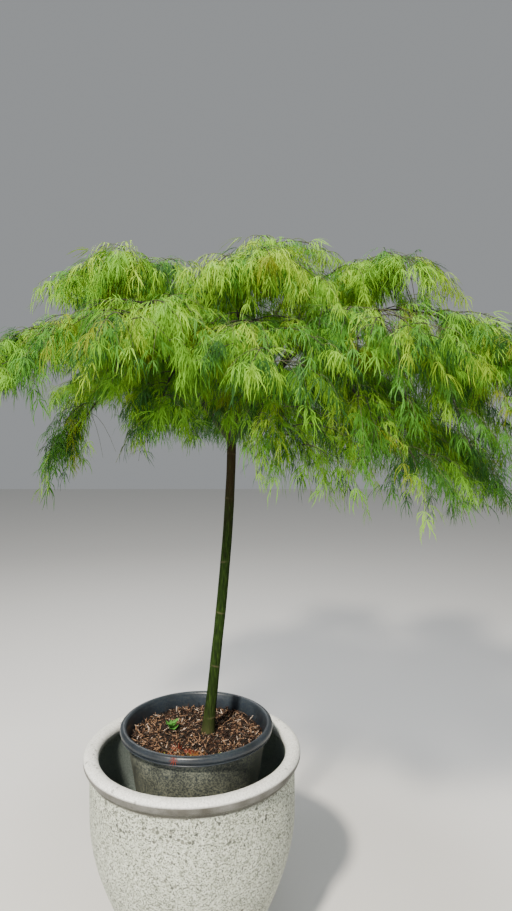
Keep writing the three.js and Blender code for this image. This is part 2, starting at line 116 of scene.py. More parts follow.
def addPiece(name, points, faces, materials, nodes=(), smooth=True, faceMaterial=None, marks=None):
    # points are rows of x, y, z in metres; faces is a list of arrays with 3 or 4 corners a row
    points = np.asarray(points, np.float32).reshape(-1, 3)
    corners = np.concatenate([np.asarray(f, np.int32).ravel() for f in faces])
    sizes = np.concatenate([np.full(len(f), np.shape(f)[1], np.int32) for f in faces])
    starts = np.concatenate([[0], np.cumsum(sizes)[:-1]]).astype(np.int32)
    mesh = bpy.data.meshes.new(name)
    mesh.vertices.add(len(points))
    mesh.vertices.foreach_set("co", points.ravel())
    mesh.loops.add(len(corners))
    mesh.loops.foreach_set("vertex_index", corners)
    mesh.polygons.add(len(sizes))
    mesh.polygons.foreach_set("loop_start", starts)
    mesh.polygons.foreach_set("use_smooth", np.full(len(sizes), smooth))
    for material in materials:
        mesh.materials.append(material)
    if faceMaterial is not None:
        mesh.polygons.foreach_set("material_index", np.asarray(faceMaterial, np.int32))
    for key, values in (marks or {}).items():
        attribute = mesh.attributes.new(key, "FLOAT", "POINT")
        attribute.data.foreach_set("value", np.asarray(values, np.float32).ravel())
    mesh.update(calc_edges=True)
    piece = bpy.data.objects.new(name, mesh)
    bpy.context.scene.collection.objects.link(piece)
    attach(piece, "root")
    if nodes:
        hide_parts(*nodes)
    return piece


def smoothLine(points, steps):
    # a line through all the points: each stretch is the cubic whose slopes run parallel to its neighbours
    p = np.asarray(points, float)
    p = np.concatenate([[2 * p[0] - p[1]], p, [2 * p[-1] - p[-2]]])
    t = np.linspace(0, 1, steps, endpoint=False)[:, None]
    a, b, c, d = p[:-3, None], p[1:-2, None], p[2:-1, None], p[3:, None]
    run = 0.5 * (2 * b + (c - a) * t + (2 * a - 5 * b + 4 * c - d) * t ** 2
                 + (3 * b - a - 3 * c + d) * t ** 3)
    return np.concatenate([run.reshape(-1, p.shape[1]), p[-2:-1]])


def bezier(controls, t):
    # the curve that leaves along the first control line and arrives along the last
    t = np.asarray(t, float)[:, None]
    while len(controls) > 1:
        controls = [a * (1 - t) + b * t for a, b in zip(controls[:-1], controls[1:])]
    return controls[0]


def spinProfile(profile, segments, centre=(0, 0)):
    # each profile point (radius, height) is carried round the axis; both ends close in a pole on the axis
    radius, height = np.asarray(profile, float).T
    turn = np.linspace(0, 2 * np.pi, segments, endpoint=False)
    ring = np.stack([np.outer(radius[1:-1], np.cos(turn)), np.outer(radius[1:-1], np.sin(turn)),
                     np.repeat(height[1:-1, None], segments, 1)], -1)
    points = np.concatenate([ring.reshape(-1, 3), [[0, 0, height[0]], [0, 0, height[-1]]]])
    points[:, :2] += centre
    rows = len(radius) - 2
    grid = np.arange(rows * segments).reshape(rows, segments)
    after = np.roll(grid, -1, axis=1)
    sides = np.stack([grid[:-1], after[:-1], after[1:], grid[1:]], -1).reshape(-1, 4)
    first = np.stack([np.full(segments, rows * segments), after[0], grid[0]], -1)
    last = np.stack([np.full(segments, rows * segments + 1), grid[-1], after[-1]], -1)
    return points, [sides, first, last]


def sweepTubes(paths, radii, sides, sideways, relief=None):
    # a ring of each radius round each place of each path; across each path one direction stays level,
    # so that rings don't twist, and both ends close in a pole
    count, rings = radii.shape
    along = unit(np.gradient(paths, axis=1))
    across = unit(sideways[:, None] - np.sum(sideways[:, None] * along, -1, keepdims=True) * along)
    other = np.cross(along, across)
    turn = np.linspace(0, 2 * np.pi, sides, endpoint=False)
    reach = radii[..., None] * (1 if relief is None else 1 + relief)
    ring = paths[:, :, None] + reach[..., None] * (across[:, :, None] * np.cos(turn)[:, None]
                                                   + other[:, :, None] * np.sin(turn)[:, None])
    poles = np.stack([paths[:, 0] - along[:, 0] * radii[:, :1] * 0.4,
                      paths[:, -1] + along[:, -1] * radii[:, -1:] * 0.4], 1)
    points = np.concatenate([ring.reshape(count, -1, 3), poles], 1)
    size = rings * sides + 2
    grid = np.arange(rings * sides).reshape(rings, sides)
    after = np.roll(grid, -1, axis=1)
    body = np.stack([grid[:-1], after[:-1], after[1:], grid[1:]], -1).reshape(-1, 4)
    caps = np.concatenate([np.stack([np.full(sides, size - 2), after[0], grid[0]], -1),
                           np.stack([np.full(sides, size - 1), grid[-1], after[-1]], -1)])
    shift = (np.arange(count) * size)[:, None, None]
    return points.reshape(-1, 3), [(body + shift).reshape(-1, 4), (caps + shift).reshape(-1, 3)]


def joinParts(parts):
    # several (points, faces) as one
    points, quads, triangles, shift = [], [], [], 0
    for partPoints, faces in parts:
        points.append(partPoints)
        for rows in faces:
            (quads if rows.shape[1] == 4 else triangles).append(rows + shift)
        shift += len(partPoints)
    faces = [np.concatenate(rows) for rows in (quads, triangles) if rows]
    return np.concatenate(points), faces


def softNoise(x, y, seed, octaves):
    # hills of even height: sums of sine waves that cross at random angles, each octave twice as fine
    rng = np.random.default_rng(seed)
    total, weight = np.zeros_like(x, dtype=float), 0.0
    for octave in range(octaves):
        for _ in range(5):
            angle, phase = rng.uniform(0, 2 * np.pi, 2)
            pace = 2 ** octave * rng.uniform(0.8, 1.25)
            total += np.sin(pace * (x * np.cos(angle) + y * np.sin(angle)) + phase) / 1.7 ** octave
        weight += 2.2 / 1.7 ** octave
    return total / weight


# Materials

def makeSpeckledCream():
    # Cast fibre clay full of stone grit, washed and sealed: a cream ground thick with grey and white grains,
    # dark chips up to 10 mm wide that gather in a belt, a rim painted lighter with fewer grains as painted
    # light from above, a dark band round the rim's outer face and neck that is partly a brown-grey stain and
    # partly painted shade under the rolled rim, and a darker grey-green on the inner wall.
    material, add = startMaterial("castStoneClay")
    place = add("TexCoord").outputs["Object"]
    rim, drift, stain, shelter = [add("Attribute", {"attribute_name": mark}).outputs["Fac"]
                                  for mark in ("rim", "drift", "stain", "shelter")]
    cloud = add("TexNoise", {"Scale": 7, "Detail": 4, "Roughness": 0.6}, {"Vector": place})
    grain = add("TexNoise", {"Scale": 320, "Detail": 2, "Roughness": 0.7}, {"Vector": place})
    body = add("ValToRGB", {"stops": [(0.30, "#cfd3c6"), (0.70, "#e4e8dc")]}, {"Fac": cloud})
    # painted light: towards the rim the ground turns near-white, as if lit from above
    ground = add("Mix", {"data_type": "RGBA", 7: toLinear("#fdfefb")}, {0: rim, 6: body})
    # the real grains are under 2 mm; they are drawn 3 mm wide, as coarse as they need to be to show
    sand = add("TexVoronoi", {"Scale": 320, "Randomness": 1}, {"Vector": place})
    shade = add("SeparateColor", {}, {"Color": sand.outputs["Color"]})
    sandStops = [(0.0, "#2b2e26"), (0.36, "#b8bcaf"), (0.7, "#ecefe6"), (1.0, "#ffffff")]
    speckles = add("ValToRGB", {"stops": sandStops}, {"Fac": shade.outputs["Green"]})
    # the painted light on the rim also thins its grains
    amount = add("MapRange", {"To Min": 0.95, "To Max": 0.30}, {"Value": rim})
    base = add("Mix", {"data_type": "RGBA", "blend_type": "MULTIPLY"},
               {0: amount, 6: ground.outputs[2], 7: speckles})
    # a cell of the grit is a chip where its own random number lies above a floor, which is lower in some
    # patches and in the belt; the further above, the wider the chip
    grit = add("TexVoronoi", {"Scale": 112, "Randomness": 1}, {"Vector": place})
    pick = add("SeparateColor", {}, {"Color": grit.outputs["Color"]})
    flat = add("Mapping", {"Scale": (1, 1, 2.4)}, {"Vector": place})
    patchy = add("TexNoise", {"Scale": 9, "Detail": 3}, {"Vector": flat})
    floorShare = add("MapRange", {"From Min": 0.42, "From Max": 0.62, "To Min": 0.99, "To Max": 0.93},
                     {"Value": patchy})
    least = add("Math", {"operation": "SUBTRACT"}, {0: floorShare, 1: drift})
    size = add("MapRange", {"To Min": 0.28, "To Max": 0.60},
               {"Value": pick.outputs["Red"], "From Min": least})
    chosen = add("Math", {"operation": "GREATER_THAN"}, {0: pick.outputs["Red"], 1: least})
    reach = add("Math", {"operation": "MULTIPLY"}, {0: size, 1: chosen})
    inside = add("Math", {"operation": "LESS_THAN"}, {0: grit.outputs["Distance"], 1: reach})
    chipStops = [(0.0, "#33352f"), (0.5, "#56584d"), (1.0, "#7f8172")]
    dark = add("ValToRGB", {"stops": chipStops}, {"Fac": pick.outputs["Green"]})
    # and thins its dark chips, with the same painted light
    keep = add("MapRange", {"To Min": 0.9, "To Max": 0.45}, {"Value": rim})
    speck = add("Math", {"operation": "MULTIPLY"}, {0: inside, 1: keep})
    speckled = add("Mix", {"data_type": "RGBA"}, {0: speck, 6: base.outputs[2], 7: dark})
    blotch = add("TexNoise", {"Scale": 22, "Detail": 4}, {"Vector": place})
    spread = add("MapRange", {"From Min": 0.3, "From Max": 0.7, "To Min": 0.86}, {"Value": blotch})
    # the band under the rim is partly a brown-grey stain and partly painted shade beneath the rolled rim
    dirtAndShade = add("Math", {"operation": "MULTIPLY"}, {0: stain, 1: spread})
    stainedAndShaded = add("Mix", {"data_type": "RGBA", 7: toLinear("#45433a")},
                  {0: dirtAndShade, 6: speckled.outputs[2]})
    # the inner wall darker grey-green, from a little below the rim downward
    coloured = add("Mix", {"data_type": "RGBA", 7: toLinear("#7c8985")},
                   {0: shelter, 6: stainedAndShaded.outputs[2]})
    bump = add("Bump", {"Strength": 0.9, "Distance": 0.003}, {"Height": grain})
    rough = add("MapRange", {"To Min": 0.46, "To Max": 0.72}, {"Value": grain})
    shader = add("BsdfPrincipled", {"IOR": 1.5},
                 {"Base Color": coloured.outputs[2], "Roughness": rough, "Normal": bump})
    add("OutputMaterial", {}, {"Surface": shader})
    return material


def makeDustyBlack():
    # Blow-moulded polypropylene: blue-black and satin, with a film of grey-olive dust on the walls, kept thin
    # inside the pot as painted shade
    material, add = startMaterial("mouldedPolypropylene")
    place = add("TexCoord").outputs["Object"]
    dust = add("Attribute", {"attribute_name": "dust"}).outputs["Fac"]
    spots = add("TexNoise", {"Scale": 210, "Detail": 4, "Roughness": 0.7}, {"Vector": place})
    cloud = add("TexNoise", {"Scale": 16, "Detail": 4}, {"Vector": place})
    grainy = add("MapRange", {"From Min": 0.43, "From Max": 0.57, "To Min": 0.18}, {"Value": spots})
    cloudy = add("MapRange", {"From Min": 0.3, "From Max": 0.7, "To Min": 0.4}, {"Value": cloud})
    film = add("Math", {"operation": "MULTIPLY"}, {0: grainy, 1: cloudy})
    cover = add("Math", {"operation": "MULTIPLY", "use_clamp": True}, {0: film, 1: dust})
    plastic = add("ValToRGB", {"stops": [(0.3, "#141a22"), (0.7, "#222c38")]}, {"Fac": cloud})
    colour = add("Mix", {"data_type": "RGBA", 7: toLinear("#818470")}, {0: cover, 6: plastic})
    rough = add("MapRange", {"To Min": 0.34, "To Max": 0.85}, {"Value": cover})
    bump = add("Bump", {"Strength": 0.2, "Distance": 0.0004}, {"Height": spots})
    shader = add("BsdfPrincipled", {"IOR": 1.49},
                 {"Base Color": colour.outputs[2], "Roughness": rough, "Normal": bump})
    add("OutputMaterial", {}, {"Surface": shader})
    return material


# the two finishes of plain bark: the noise of its fibres, where the light ones start, relief and roughness
shredded = {"fibres": {"Scale": 420, "Detail": 3, "Roughness": 0.7}, "lightFrom": 0.62,
            "relief": {"Strength": 0.5, "Distance": 0.0006}, "roughness": 0.9}
growing = {"fibres": {"Scale": 300, "Detail": 4, "Roughness": 0.6}, "lightFrom": 0.65,
           "relief": {"Strength": 0.4, "Distance": 0.0005}, "roughness": 0.8}


def makeBark(name, light, dark, finish):
    # Matt bark, mottled between two colours in spots of 1 to 3 mm. Shredded, it is dry pine bark with every
    # fibre raised. Growing, it is smoother: near-black brown on boughs and twigs, partly their dark bark and
    # partly painted shade of the crown, olive on young shoots.
    material, add = startMaterial(name)
    place = add("TexCoord").outputs["Object"]
    fibres = add("TexNoise", finish["fibres"], {"Vector": place})
    colour = add("ValToRGB", {"stops": [(0.35, dark), (finish["lightFrom"], light)]}, {"Fac": fibres})
    bump = add("Bump", finish["relief"], {"Height": fibres})
    shader = add("BsdfPrincipled", {"Roughness": finish["roughness"], "IOR": 1.45},
                 {"Base Color": colour, "Normal": bump})
    add("OutputMaterial", {}, {"Surface": shader})
    return material


def makeGreenBark():
    # Young maple bark: smooth and olive green, streaked along the stem, with pale corky rings where buds
    # were, olive brown at the foot, and browner and darker towards the head, partly its own browner bark and
    # partly painted shade under the crown
    material, add = startMaterial("youngMapleBark")
    place = add("TexCoord").outputs["Object"]
    drawn = add("Mapping", {"Scale": (1, 1, 0.16)}, {"Vector": place})
    streak = add("TexNoise", {"Scale": 230, "Detail": 5, "Roughness": 0.62}, {"Vector": drawn})
    patch = add("TexNoise", {"Scale": 26, "Detail": 3}, {"Vector": place})
    greens = [(0.32, "#0d1804"), (0.52, "#1d300a"), (0.74, "#364d19")]
    green = add("ValToRGB", {"stops": greens}, {"Fac": streak})
    olive = add("ValToRGB", {"stops": [(0.35, "#3a3e28"), (0.65, "#606440")]}, {"Fac": patch})
    toned = add("Mix", {"data_type": "RGBA", "blend_type": "OVERLAY", 0: 0.15}, {6: green, 7: olive})
    colour = toned.outputs[2]
    # the head tint is partly browner bark and partly painted shade under the crown
    for mark, tint in (("foot", "#3f4128"), ("head", "#2c1e13"), ("scar", "#5f5640")):
        share = add("Attribute", {"attribute_name": mark}).outputs["Fac"]
        tinted = add("Mix", {"data_type": "RGBA", 7: toLinear(tint)}, {0: share, 6: colour})
        colour = tinted.outputs[2]
    bump = add("Bump", {"Strength": 0.45, "Distance": 0.0008}, {"Height": streak})
    shader = add("BsdfPrincipled", {"Roughness": 0.8, "IOR": 1.45, "Specular IOR Level": 0.12},
                 {"Base Color": colour, "Normal": bump})
    add("OutputMaterial", {}, {"Surface": shader})
    return material


def makeLeaf(name, colour, through):
    # A thin living leaf: a plain colour for its spray, a low waxy gloss, and light that comes through it
    material, add = startMaterial(name)
    front = add("BsdfPrincipled",
                {"Base Color": toLinear(colour), "Roughness": 0.55, "IOR": 1.42, "Specular IOR Level": 0.14})
    back = add("BsdfTranslucent", {"Color": toLinear(through)})
    both = add("MixShader", {0: 0.14}, {1: front, 2: back})
    add("OutputMaterial", {}, {"Surface": both})
    return material


creamClay = makeSpeckledCream()
blackPlastic = makeDustyBlack()
greenBark = makeGreenBark()
# the boughs and twigs are near-black partly as painted shade inside the crown
boughBark = makeBark("shadedMapleBark", "#2e291c", "#13100a", growing)
twigBark = makeBark("shadedTwigBark", "#2f2a1b", "#17130b", growing)
fineBark = makeBark("youngShootBark", "#4f5a2a", "#343a1c", growing)
chipBarks = [
    makeBark("redPineBark", "#4f3425", "#1a0f09", shredded),
    makeBark("tanPineBark", "#b08a69", "#453023", shredded),
    makeBark("darkPineBark", "#1f1711", "#0b0806", shredded),
    makeBark("greyPineBark", "#6a5f54", "#2c2620", shredded),
    makeBark("palePineBark", "#d8c6b5", "#927c69", shredded),
]
weedLeaf = makeLeaf("weedLeafGreen", "#4f8a3a", "#79b04a")
litterLeaves = [
    makeLeaf("fallenRedLeaf", "#84392a", "#96452c"),
    makeLeaf("fallenOrangeLeaf", "#7d5630", "#93692e"),
    makeLeaf("fallenGreenLeaf", "#9aa83f", "#b4c24a"),
]
mixSoil = makeBark("barkCompost", "#2c2019", "#100b08", shredded)
print("materials made")


# The planter: a belly drawn in under a thick rolled rim

planterShape = {
    "belly": [(0.1660, 0.006), (0.1840, 0.120), (0.2890, 0.258), (0.2890, 0.430)], "bellySteps": 26,
    "rim": [(0.2890, 0.5000), (0.2885, 0.5400), (0.2880, 0.5620), (0.2890, 0.5690), (0.2925, 0.5745),
            (0.2985, 0.5795), (0.3030, 0.5865), (0.3048, 0.5945), (0.3032, 0.6030), (0.2980, 0.6092),
            (0.2905, 0.6120), (0.2820, 0.6120), (0.2735, 0.6098), (0.2668, 0.6050), (0.2634, 0.5980),
            (0.2630, 0.5900), (0.2655, 0.5820), (0.2695, 0.5740), (0.2712, 0.5620), (0.2718, 0.5200)],
    "foot": [(0.1540, 0.0000), (0.1620, 0.0010)],
    "floor": [(0.1575, 0.0360), (0.1515, 0.0310), (0.1450, 0.0300)],
    "floorTop": 0.03, "wall": 0.017, "insideFrom": 0.05, "segments": 224, "waver": 0.0005,
    "drains": 3, "drainCircle": 0.075, "drainRadius": 0.012,
    # the band round the rim's outer face and neck, partly stain and partly painted shade under the roll
    "stainLow": (0.561, 0.004), "stainHigh": (0.6025, 0.005),  # its two edges, and how far each fades
    "shelterTop": 0.598, "shelterFade": 0.05, "shelterMost": 0.88,  # the inner wall turns darker grey-green below this height
    "paleFrom": 0.572, "paleFade": 0.008, "paleReach": 0.262,  # the rim, painted lighter as painted light from above
    "beltHeight": 0.517, "beltSpread": 0.026, "beltMost": 0.30, "beltPhase": 4.9,  # where chips gather
}


def buildPlanter(shape):
    # a profile spun round the axis: up the belly's curve, over the rim and down a wall's width inside it.
    # Marks tell the clay where the band of stain and painted shade under the rim lies, where the inner wall
    # is darker grey-green, where the rim is painted lighter as painted light, and where it is full of chips.
    belly = bezier([np.array(point) for point in shape["belly"]], np.linspace(0, 1, shape["bellySteps"]))
    inside = belly[belly[:, 1] > shape["insideFrom"]][::-1] - [shape["wall"], 0]
    wall = smoothLine(np.concatenate([shape["foot"], belly, shape["rim"], inside, shape["floor"]]), 3)
    profile = np.concatenate([[[0, 0]], wall, [[0, shape["floorTop"]]]])
    points, faces = spinProfile(profile, shape["segments"])
    height, reach = points[:, 2], np.hypot(points[:, 0], points[:, 1])
    turn = np.arctan2(points[:, 1], points[:, 0])
    wavy = shape["waver"] * softNoise(9 * np.cos(turn) + 14 * height, 9 * np.sin(turn), 5, 2)
    points[:, :2] *= (1 + np.where(reach > 0.15, wavy / np.maximum(reach, 0.1), 0))[:, None]
    row = np.arange(len(points)) // shape["segments"]
    inner = row > np.argmax(profile[1:-1, 1])
    inner[-2] = False  # the pole under the floor
    low, lowFade = shape["stainLow"]
    high, highFade = shape["stainHigh"]
    # the band of stain and painted shade under the rolled rim, between its two edges
    stain = np.clip((height - low) / lowFade, 0, 1) * np.clip((high - height) / highFade, 0, 1)
    shelter = np.clip((shape["shelterTop"] - height) / shape["shelterFade"], 0, shape["shelterMost"])
    # painted light: the rim's top and roll are painted lighter
    rim = np.clip((height - shape["paleFrom"]) / shape["paleFade"], 0, 1) * (reach > shape["paleReach"])
    drift = shape["beltMost"] * np.exp(-((height - shape["beltHeight"]) / shape["beltSpread"]) ** 2)
    drift = drift * np.clip(0.6 + np.sin(2 * turn + shape["beltPhase"]), 0, 1)
    piece = addPiece("planterBody", points, faces, [creamClay],
                     ["planter_floor", "planter_lower", "planter_upper"],
                     marks={"stain": np.where(inner, 0, stain), "rim": rim,
                            "shelter": np.where(inner, shelter, 0), "drift": drift})
    cutters = []
    for k in range(shape["drains"]):
        angle = 2 * np.pi * (k + 0.5) / shape["drains"]
        centre = shape["drainCircle"] * np.array([np.cos(angle), np.sin(angle)])
        r = shape["drainRadius"]
        cutters.append(spinProfile([(0, -0.02), (r, -0.02), (r, 0.05), (0, 0.05)], 32, centre))
    cutPoints, cutFaces = joinParts(cutters)
    cutter = addPiece("drainCutter", cutPoints, cutFaces, [creamClay])
    boolean = piece.modifiers.new("drains", "BOOLEAN")
    boolean.object = cutter
    boolean.solver = "EXACT"
    cut = bpy.data.meshes.new_from_object(piece.evaluated_get(bpy.context.evaluated_depsgraph_get()))
    piece.modifiers.clear()
    piece.data = cut
    bpy.data.objects.remove(cutter)


buildPlanter(planterShape)
print("planter built")

# The nursery pot, its filling and the upturned pot that carries it

potShape = {
    "centre": (0.011, 0.0), "foot": 0.315, "rimTop": 0.679, "footRadius": 0.146, "shoulderRadius": 0.196,
    "rimDepth": 0.026, "wall": 0.004, "floor": 0.006, "segments": 192,
    # radius, and height over the top of the rim
    "rim": [(0.1972, -0.0268), (0.2040, -0.0262), (0.2105, -0.0262), (0.2124, -0.0250), (0.2122, -0.0232),
            (0.2112, -0.0222), (0.2132, -0.0196), (0.2147, -0.0150), (0.2148, -0.0100), (0.2130, -0.0048),
            (0.2090, -0.0014), (0.2045, -0.0003), (0.2002, -0.0014), (0.1970, -0.0048), (0.1954, -0.0100)],
    # inside the nursery pot the dust is kept thin, so that the inner wall stays dark as painted shade
    "dustyWall": 0.95, "dustyRim": 0.10, "dustyInside": 0.08,
}


def potWallRadius(height):
    # a straight line from the foot's radius to the shoulder's, just under the rim
    share = (height - potShape["foot"]) / (potShape["rimTop"] - potShape["foot"] - potShape["rimDepth"])
    return potShape["footRadius"] + (potShape["shoulderRadius"] - potShape["footRadius"]) * share


def buildNurseryPot(shape):
    # a profile spun round the pot's axis: up the tapering wall, over the rolled rim and down inside
    foot, top = shape["foot"], shape["rimTop"]
    start = [(shape["footRadius"] - 0.004, foot), (shape["footRadius"], foot + 0.003)]
    outside = [(potWallRadius(z), z) for z in np.linspace(foot + 0.006, top - 0.029, 14)]
    rim = [(radius, top + drop) for radius, drop in shape["rim"]]
    inside = [(potWallRadius(z) - shape["wall"], z) for z in np.linspace(top - 0.020, foot + 0.012, 12)]
    end = [(shape["footRadius"] - 0.006, foot + shape["floor"])]
    profile = np.concatenate([[[0, foot]], smoothLine(start + outside + rim + inside + end, 4),
                              [[0, foot + shape["floor"]]]])
    points, faces = spinProfile(profile, shape["segments"], shape["centre"])
    height = points[:, 2]
    reach = np.hypot(points[:, 0] - shape["centre"][0], points[:, 1])
    outer = reach > potWallRadius(height) - 0.002
    dust = np.where(outer & (height < top - 0.027), shape["dustyWall"], shape["dustyRim"])
    # painted shade: little dust on the inner wall, which keeps it dark
    dust = np.where(~outer & (height < top - 0.016), shape["dustyInside"], dust)
    addPiece("nurseryPotShell", points, faces, [blackPlastic], ["nursery_pot"],
             marks={"dust": dust})


upturnedPot = {"bottom": 0.0303, "top": 0.3147, "segments": 96, "dust": 0.6}


def buildUpturnedPot(shape):
    # straight tapering sides under a flat closed end, with a thick lip at the mouth
    bottom, top = shape["bottom"], shape["top"]
    profile = [(0, top - 0.006), (0.103, top - 0.006), (0.104, top - 0.008), (0.134, bottom + 0.001),
               (0.135, bottom), (0.1435, bottom), (0.144, bottom + 0.001), (0.144, bottom + 0.0155),
               (0.1385, bottom + 0.016), (0.1378, bottom + 0.018), (0.1085, top - 0.002), (0.107, top),
               (0, top)]
    points, faces = spinProfile(profile[::-1], shape["segments"])
    faces = [rows[:, ::-1] for rows in faces]
    addPiece("upturnedPotShell", points, faces, [blackPlastic],
             ["upturned_pot_wall", "upturned_pot_end"], marks={"dust": np.full(len(points), shape["dust"])})


bed = {"top": 0.6345, "bottom": 0.3213, "clear": 0.0047, "bump": 0.0045, "centre": np.array([0.011, 0.0]),
       "stem": (0.043, 0.013), "collar": 0.004, "collarReach": 0.03, "rings": 54, "segments": 128}


def bedHeight(x, y):
    # low mounds a few centimetres across, a little higher round the stem
    hills = softNoise(70 * x, 70 * y, 11, 3)
    fromStem = (x - bed["stem"][0]) ** 2 + (y - bed["stem"][1]) ** 2
    collar = bed["collar"] * np.exp(-fromStem / bed["collarReach"] ** 2)
    return bed["top"] + bed["bump"] * (hills - 0.4) + collar


def buildPottingMix(shape):
    # a tapering plug, spun from its profile, whose top is then laid over the mounds
    bottom, top = shape["bottom"], shape["top"]
    reach = np.linspace(0, 1, shape["rings"] + 1)[1:]
    topRadius = potWallRadius(top) - shape["clear"]
    lowRadius = potWallRadius(bottom) - shape["clear"]
    profile = [(0, bottom)] + [(lowRadius * f, bottom) for f in (0.5, 0.98)] + [(lowRadius, bottom + 0.003)]
    profile += [(topRadius * f, top) for f in reach[::-1]] + [(0, top)]
    points, faces = spinProfile(profile, shape["segments"], shape["centre"])
    upper = points[:, 2] > top - 0.001
    points[upper, 2] = bedHeight(points[upper, 0], points[upper, 1])
    addPiece("pottingMixBed", points, faces, [mixSoil], ["potting_mix"])


chips = {"seed": 21, "count": 6400, "length": (0.007, 0.029), "width": (0.0009, 0.0024),
         "thick": (0.0006, 0.0018), "reach": 0.186, "tilt": 0.45, "roll": 0.5, "rise": (-0.002, 0.006),
         "kindShares": [0.25, 0.19, 0.46, 0.06, 0.04]}


def buildChips(shape):
    # each shred is a pointed bar: two square rings between two tips, all a little out of true
    rng = np.random.default_rng(shape["seed"])
    n = shape["count"]
    radius = shape["reach"] * np.sqrt(rng.uniform(0, 1, n))
    angle = rng.uniform(0, 2 * np.pi, n)
    x = bed["centre"][0] + radius * np.cos(angle)
    y = bed["centre"][1] + radius * np.sin(angle)
    length = rng.uniform(*shape["length"], n) * rng.uniform(0.5, 1, n) ** 0.6
    width = rng.uniform(*shape["width"], n)
    thick = rng.uniform(*shape["thick"], n)
    heading = rng.uniform(0, 2 * np.pi, n)
    tilt = rng.normal(0, shape["tilt"], n)
    roll = rng.normal(0, shape["roll"], n)
    local = [[-0.5, 0, 0]]
    for end in (-0.28, 0.26):
        local += [[end, -0.5, -0.5], [end, 0.5, -0.5], [end, 0.5, 0.5], [end, -0.5, 0.5]]
    local = np.array(local + [[0.5, 0, 0]])
    bars = local[None] * np.stack([length, width, thick], -1)[:, None]
    bars += rng.normal(0, 1, bars.shape) * np.stack([length * 0.03, width * 0.13, thick * 0.2], -1)[:, None]
    along = np.stack([np.cos(heading) * np.cos(tilt), np.sin(heading) * np.cos(tilt), np.sin(tilt)], -1)
    flat = np.stack([-np.sin(heading), np.cos(heading), np.zeros(n)], -1)
    across = flat * np.cos(roll)[:, None] + np.cross(along, flat) * np.sin(roll)[:, None]
    normal = np.cross(along, across)
    rise = 0.25 * thick + 0.35 * length * np.abs(np.sin(tilt)) + rng.uniform(*shape["rise"], n)
    centre = np.stack([x, y, bedHeight(x, y) + rise], -1)
    points = centre[:, None] + (bars[..., :1] * along[:, None] + bars[..., 1:2] * across[:, None]
                                + bars[..., 2:] * normal[:, None])
    corners = [(k, (k + 1) % 4) for k in range(4)]
    quads = np.array([[1 + k, 1 + after, 5 + after, 5 + k] for k, after in corners])
    tips = np.array([[0, 1 + after, 1 + k] for k, after in corners]
                    + [[9, 5 + k, 5 + after] for k, after in corners])
    shift = (np.arange(n) * len(local))[:, None, None]
    kind = rng.choice(len(chipBarks), n, p=shape["kindShares"])
    addPiece("barkChips", points, [(quads + shift).reshape(-1, 4), (tips + shift).reshape(-1, 3)], chipBarks,
             smooth=False, faceMaterial=np.concatenate([np.repeat(kind, 4), np.repeat(kind, 8)]))


buildNurseryPot(potShape)
buildUpturnedPot(upturnedPot)
buildPottingMix(bed)
buildChips(chips)

seedling = {"seed": 5, "place": (-0.063, 0.021), "leaves": 9, "length": (0.016, 0.027), "stalk": 0.030,
            "lobes": [(-38, 0.62), (-14, 0.9), (0, 1.0), (14, 0.9), (38, 0.62)], "lobeWidth": 0.17}
litter = {"seed": 8, "count": 26, "length": (0.018, 0.034), "middle": (-0.002, -0.128),
          "spread": (0.085, 0.030),
          "lobes": [(-80, 0.5), (-50, 0.75), (-24, 0.95), (0, 1.0), (24, 0.95), (50, 0.75), (80, 0.5)],
          "lobeWidth": 0.075, "lift": 0.0065, "rimBearing": 259, "rimRadius": 0.2125, "rimLength": 0.022}


def flatLeaf(lobes, width):
    # a small leaf in the x, y plane, root at the origin and 1 long: a fan of pointed lobes
    rows, faces = [[0, 0, 0]], []
    for angle, reach in lobes:
        a = np.radians(angle)
        tip = np.array([np.sin(a), np.cos(a), 0]) * reach
        side = np.array([np.cos(a), -np.sin(a), 0]) * width * reach
        first = len(rows)
        left, right = tip * 0.45 - side + [0, 0, 0.05], tip * 0.45 + side + [0, 0, 0.05]
        rows += [left, tip - [0, 0, 0.12 * reach], right]
        faces += [[0, first + 1, first], [0, first + 2, first + 1]]
    return np.array(rows), np.array(faces)


def layLeaf(local, root, out, side, length):
    # the flat leaf laid from its root along out, with side across it
    return root + length * (local[:, :1] * side + local[:, 1:2] * out + local[:, 2:] * np.cross(side, out))


def buildSeedling(shape):
    # a weed seedling: a short stalk with small toothed leaves on all sides, one over the next
    rng = np.random.default_rng(shape["seed"])
    x, y = shape["place"]
    ground, stalk = bedHeight(x, y), shape["stalk"]
    local, faces = flatLeaf(shape["lobes"], shape["lobeWidth"])
    parts = []
    for k in range(shape["leaves"]):
        turn, length = 2.4 * k + rng.uniform(-0.3, 0.3), rng.uniform(*shape["length"])
        lift = rng.uniform(0.2, 0.75)
        out = np.array([np.cos(turn) * np.cos(lift), np.sin(turn) * np.cos(lift), np.sin(lift)])
        side = np.array([-np.sin(turn), np.cos(turn), 0])
        root = np.array([x, y, ground + stalk * (0.25 + 0.75 * k / shape["leaves"])])
        parts.append((layLeaf(local, root, out, side, length), [faces]))
    line = np.array([[[x, y, ground - 0.002], [x, y, ground + stalk * 0.5], [x + 0.002, y, ground + stalk]]])
    parts.append(sweepTubes(line, np.array([[0.0011, 0.0009, 0.0005]]), 6, np.array([[0, 1.0, 0]])))
    points, joined = joinParts(parts)
    addPiece("seedlingLeaves", points, joined, [weedLeaf], smooth=False)


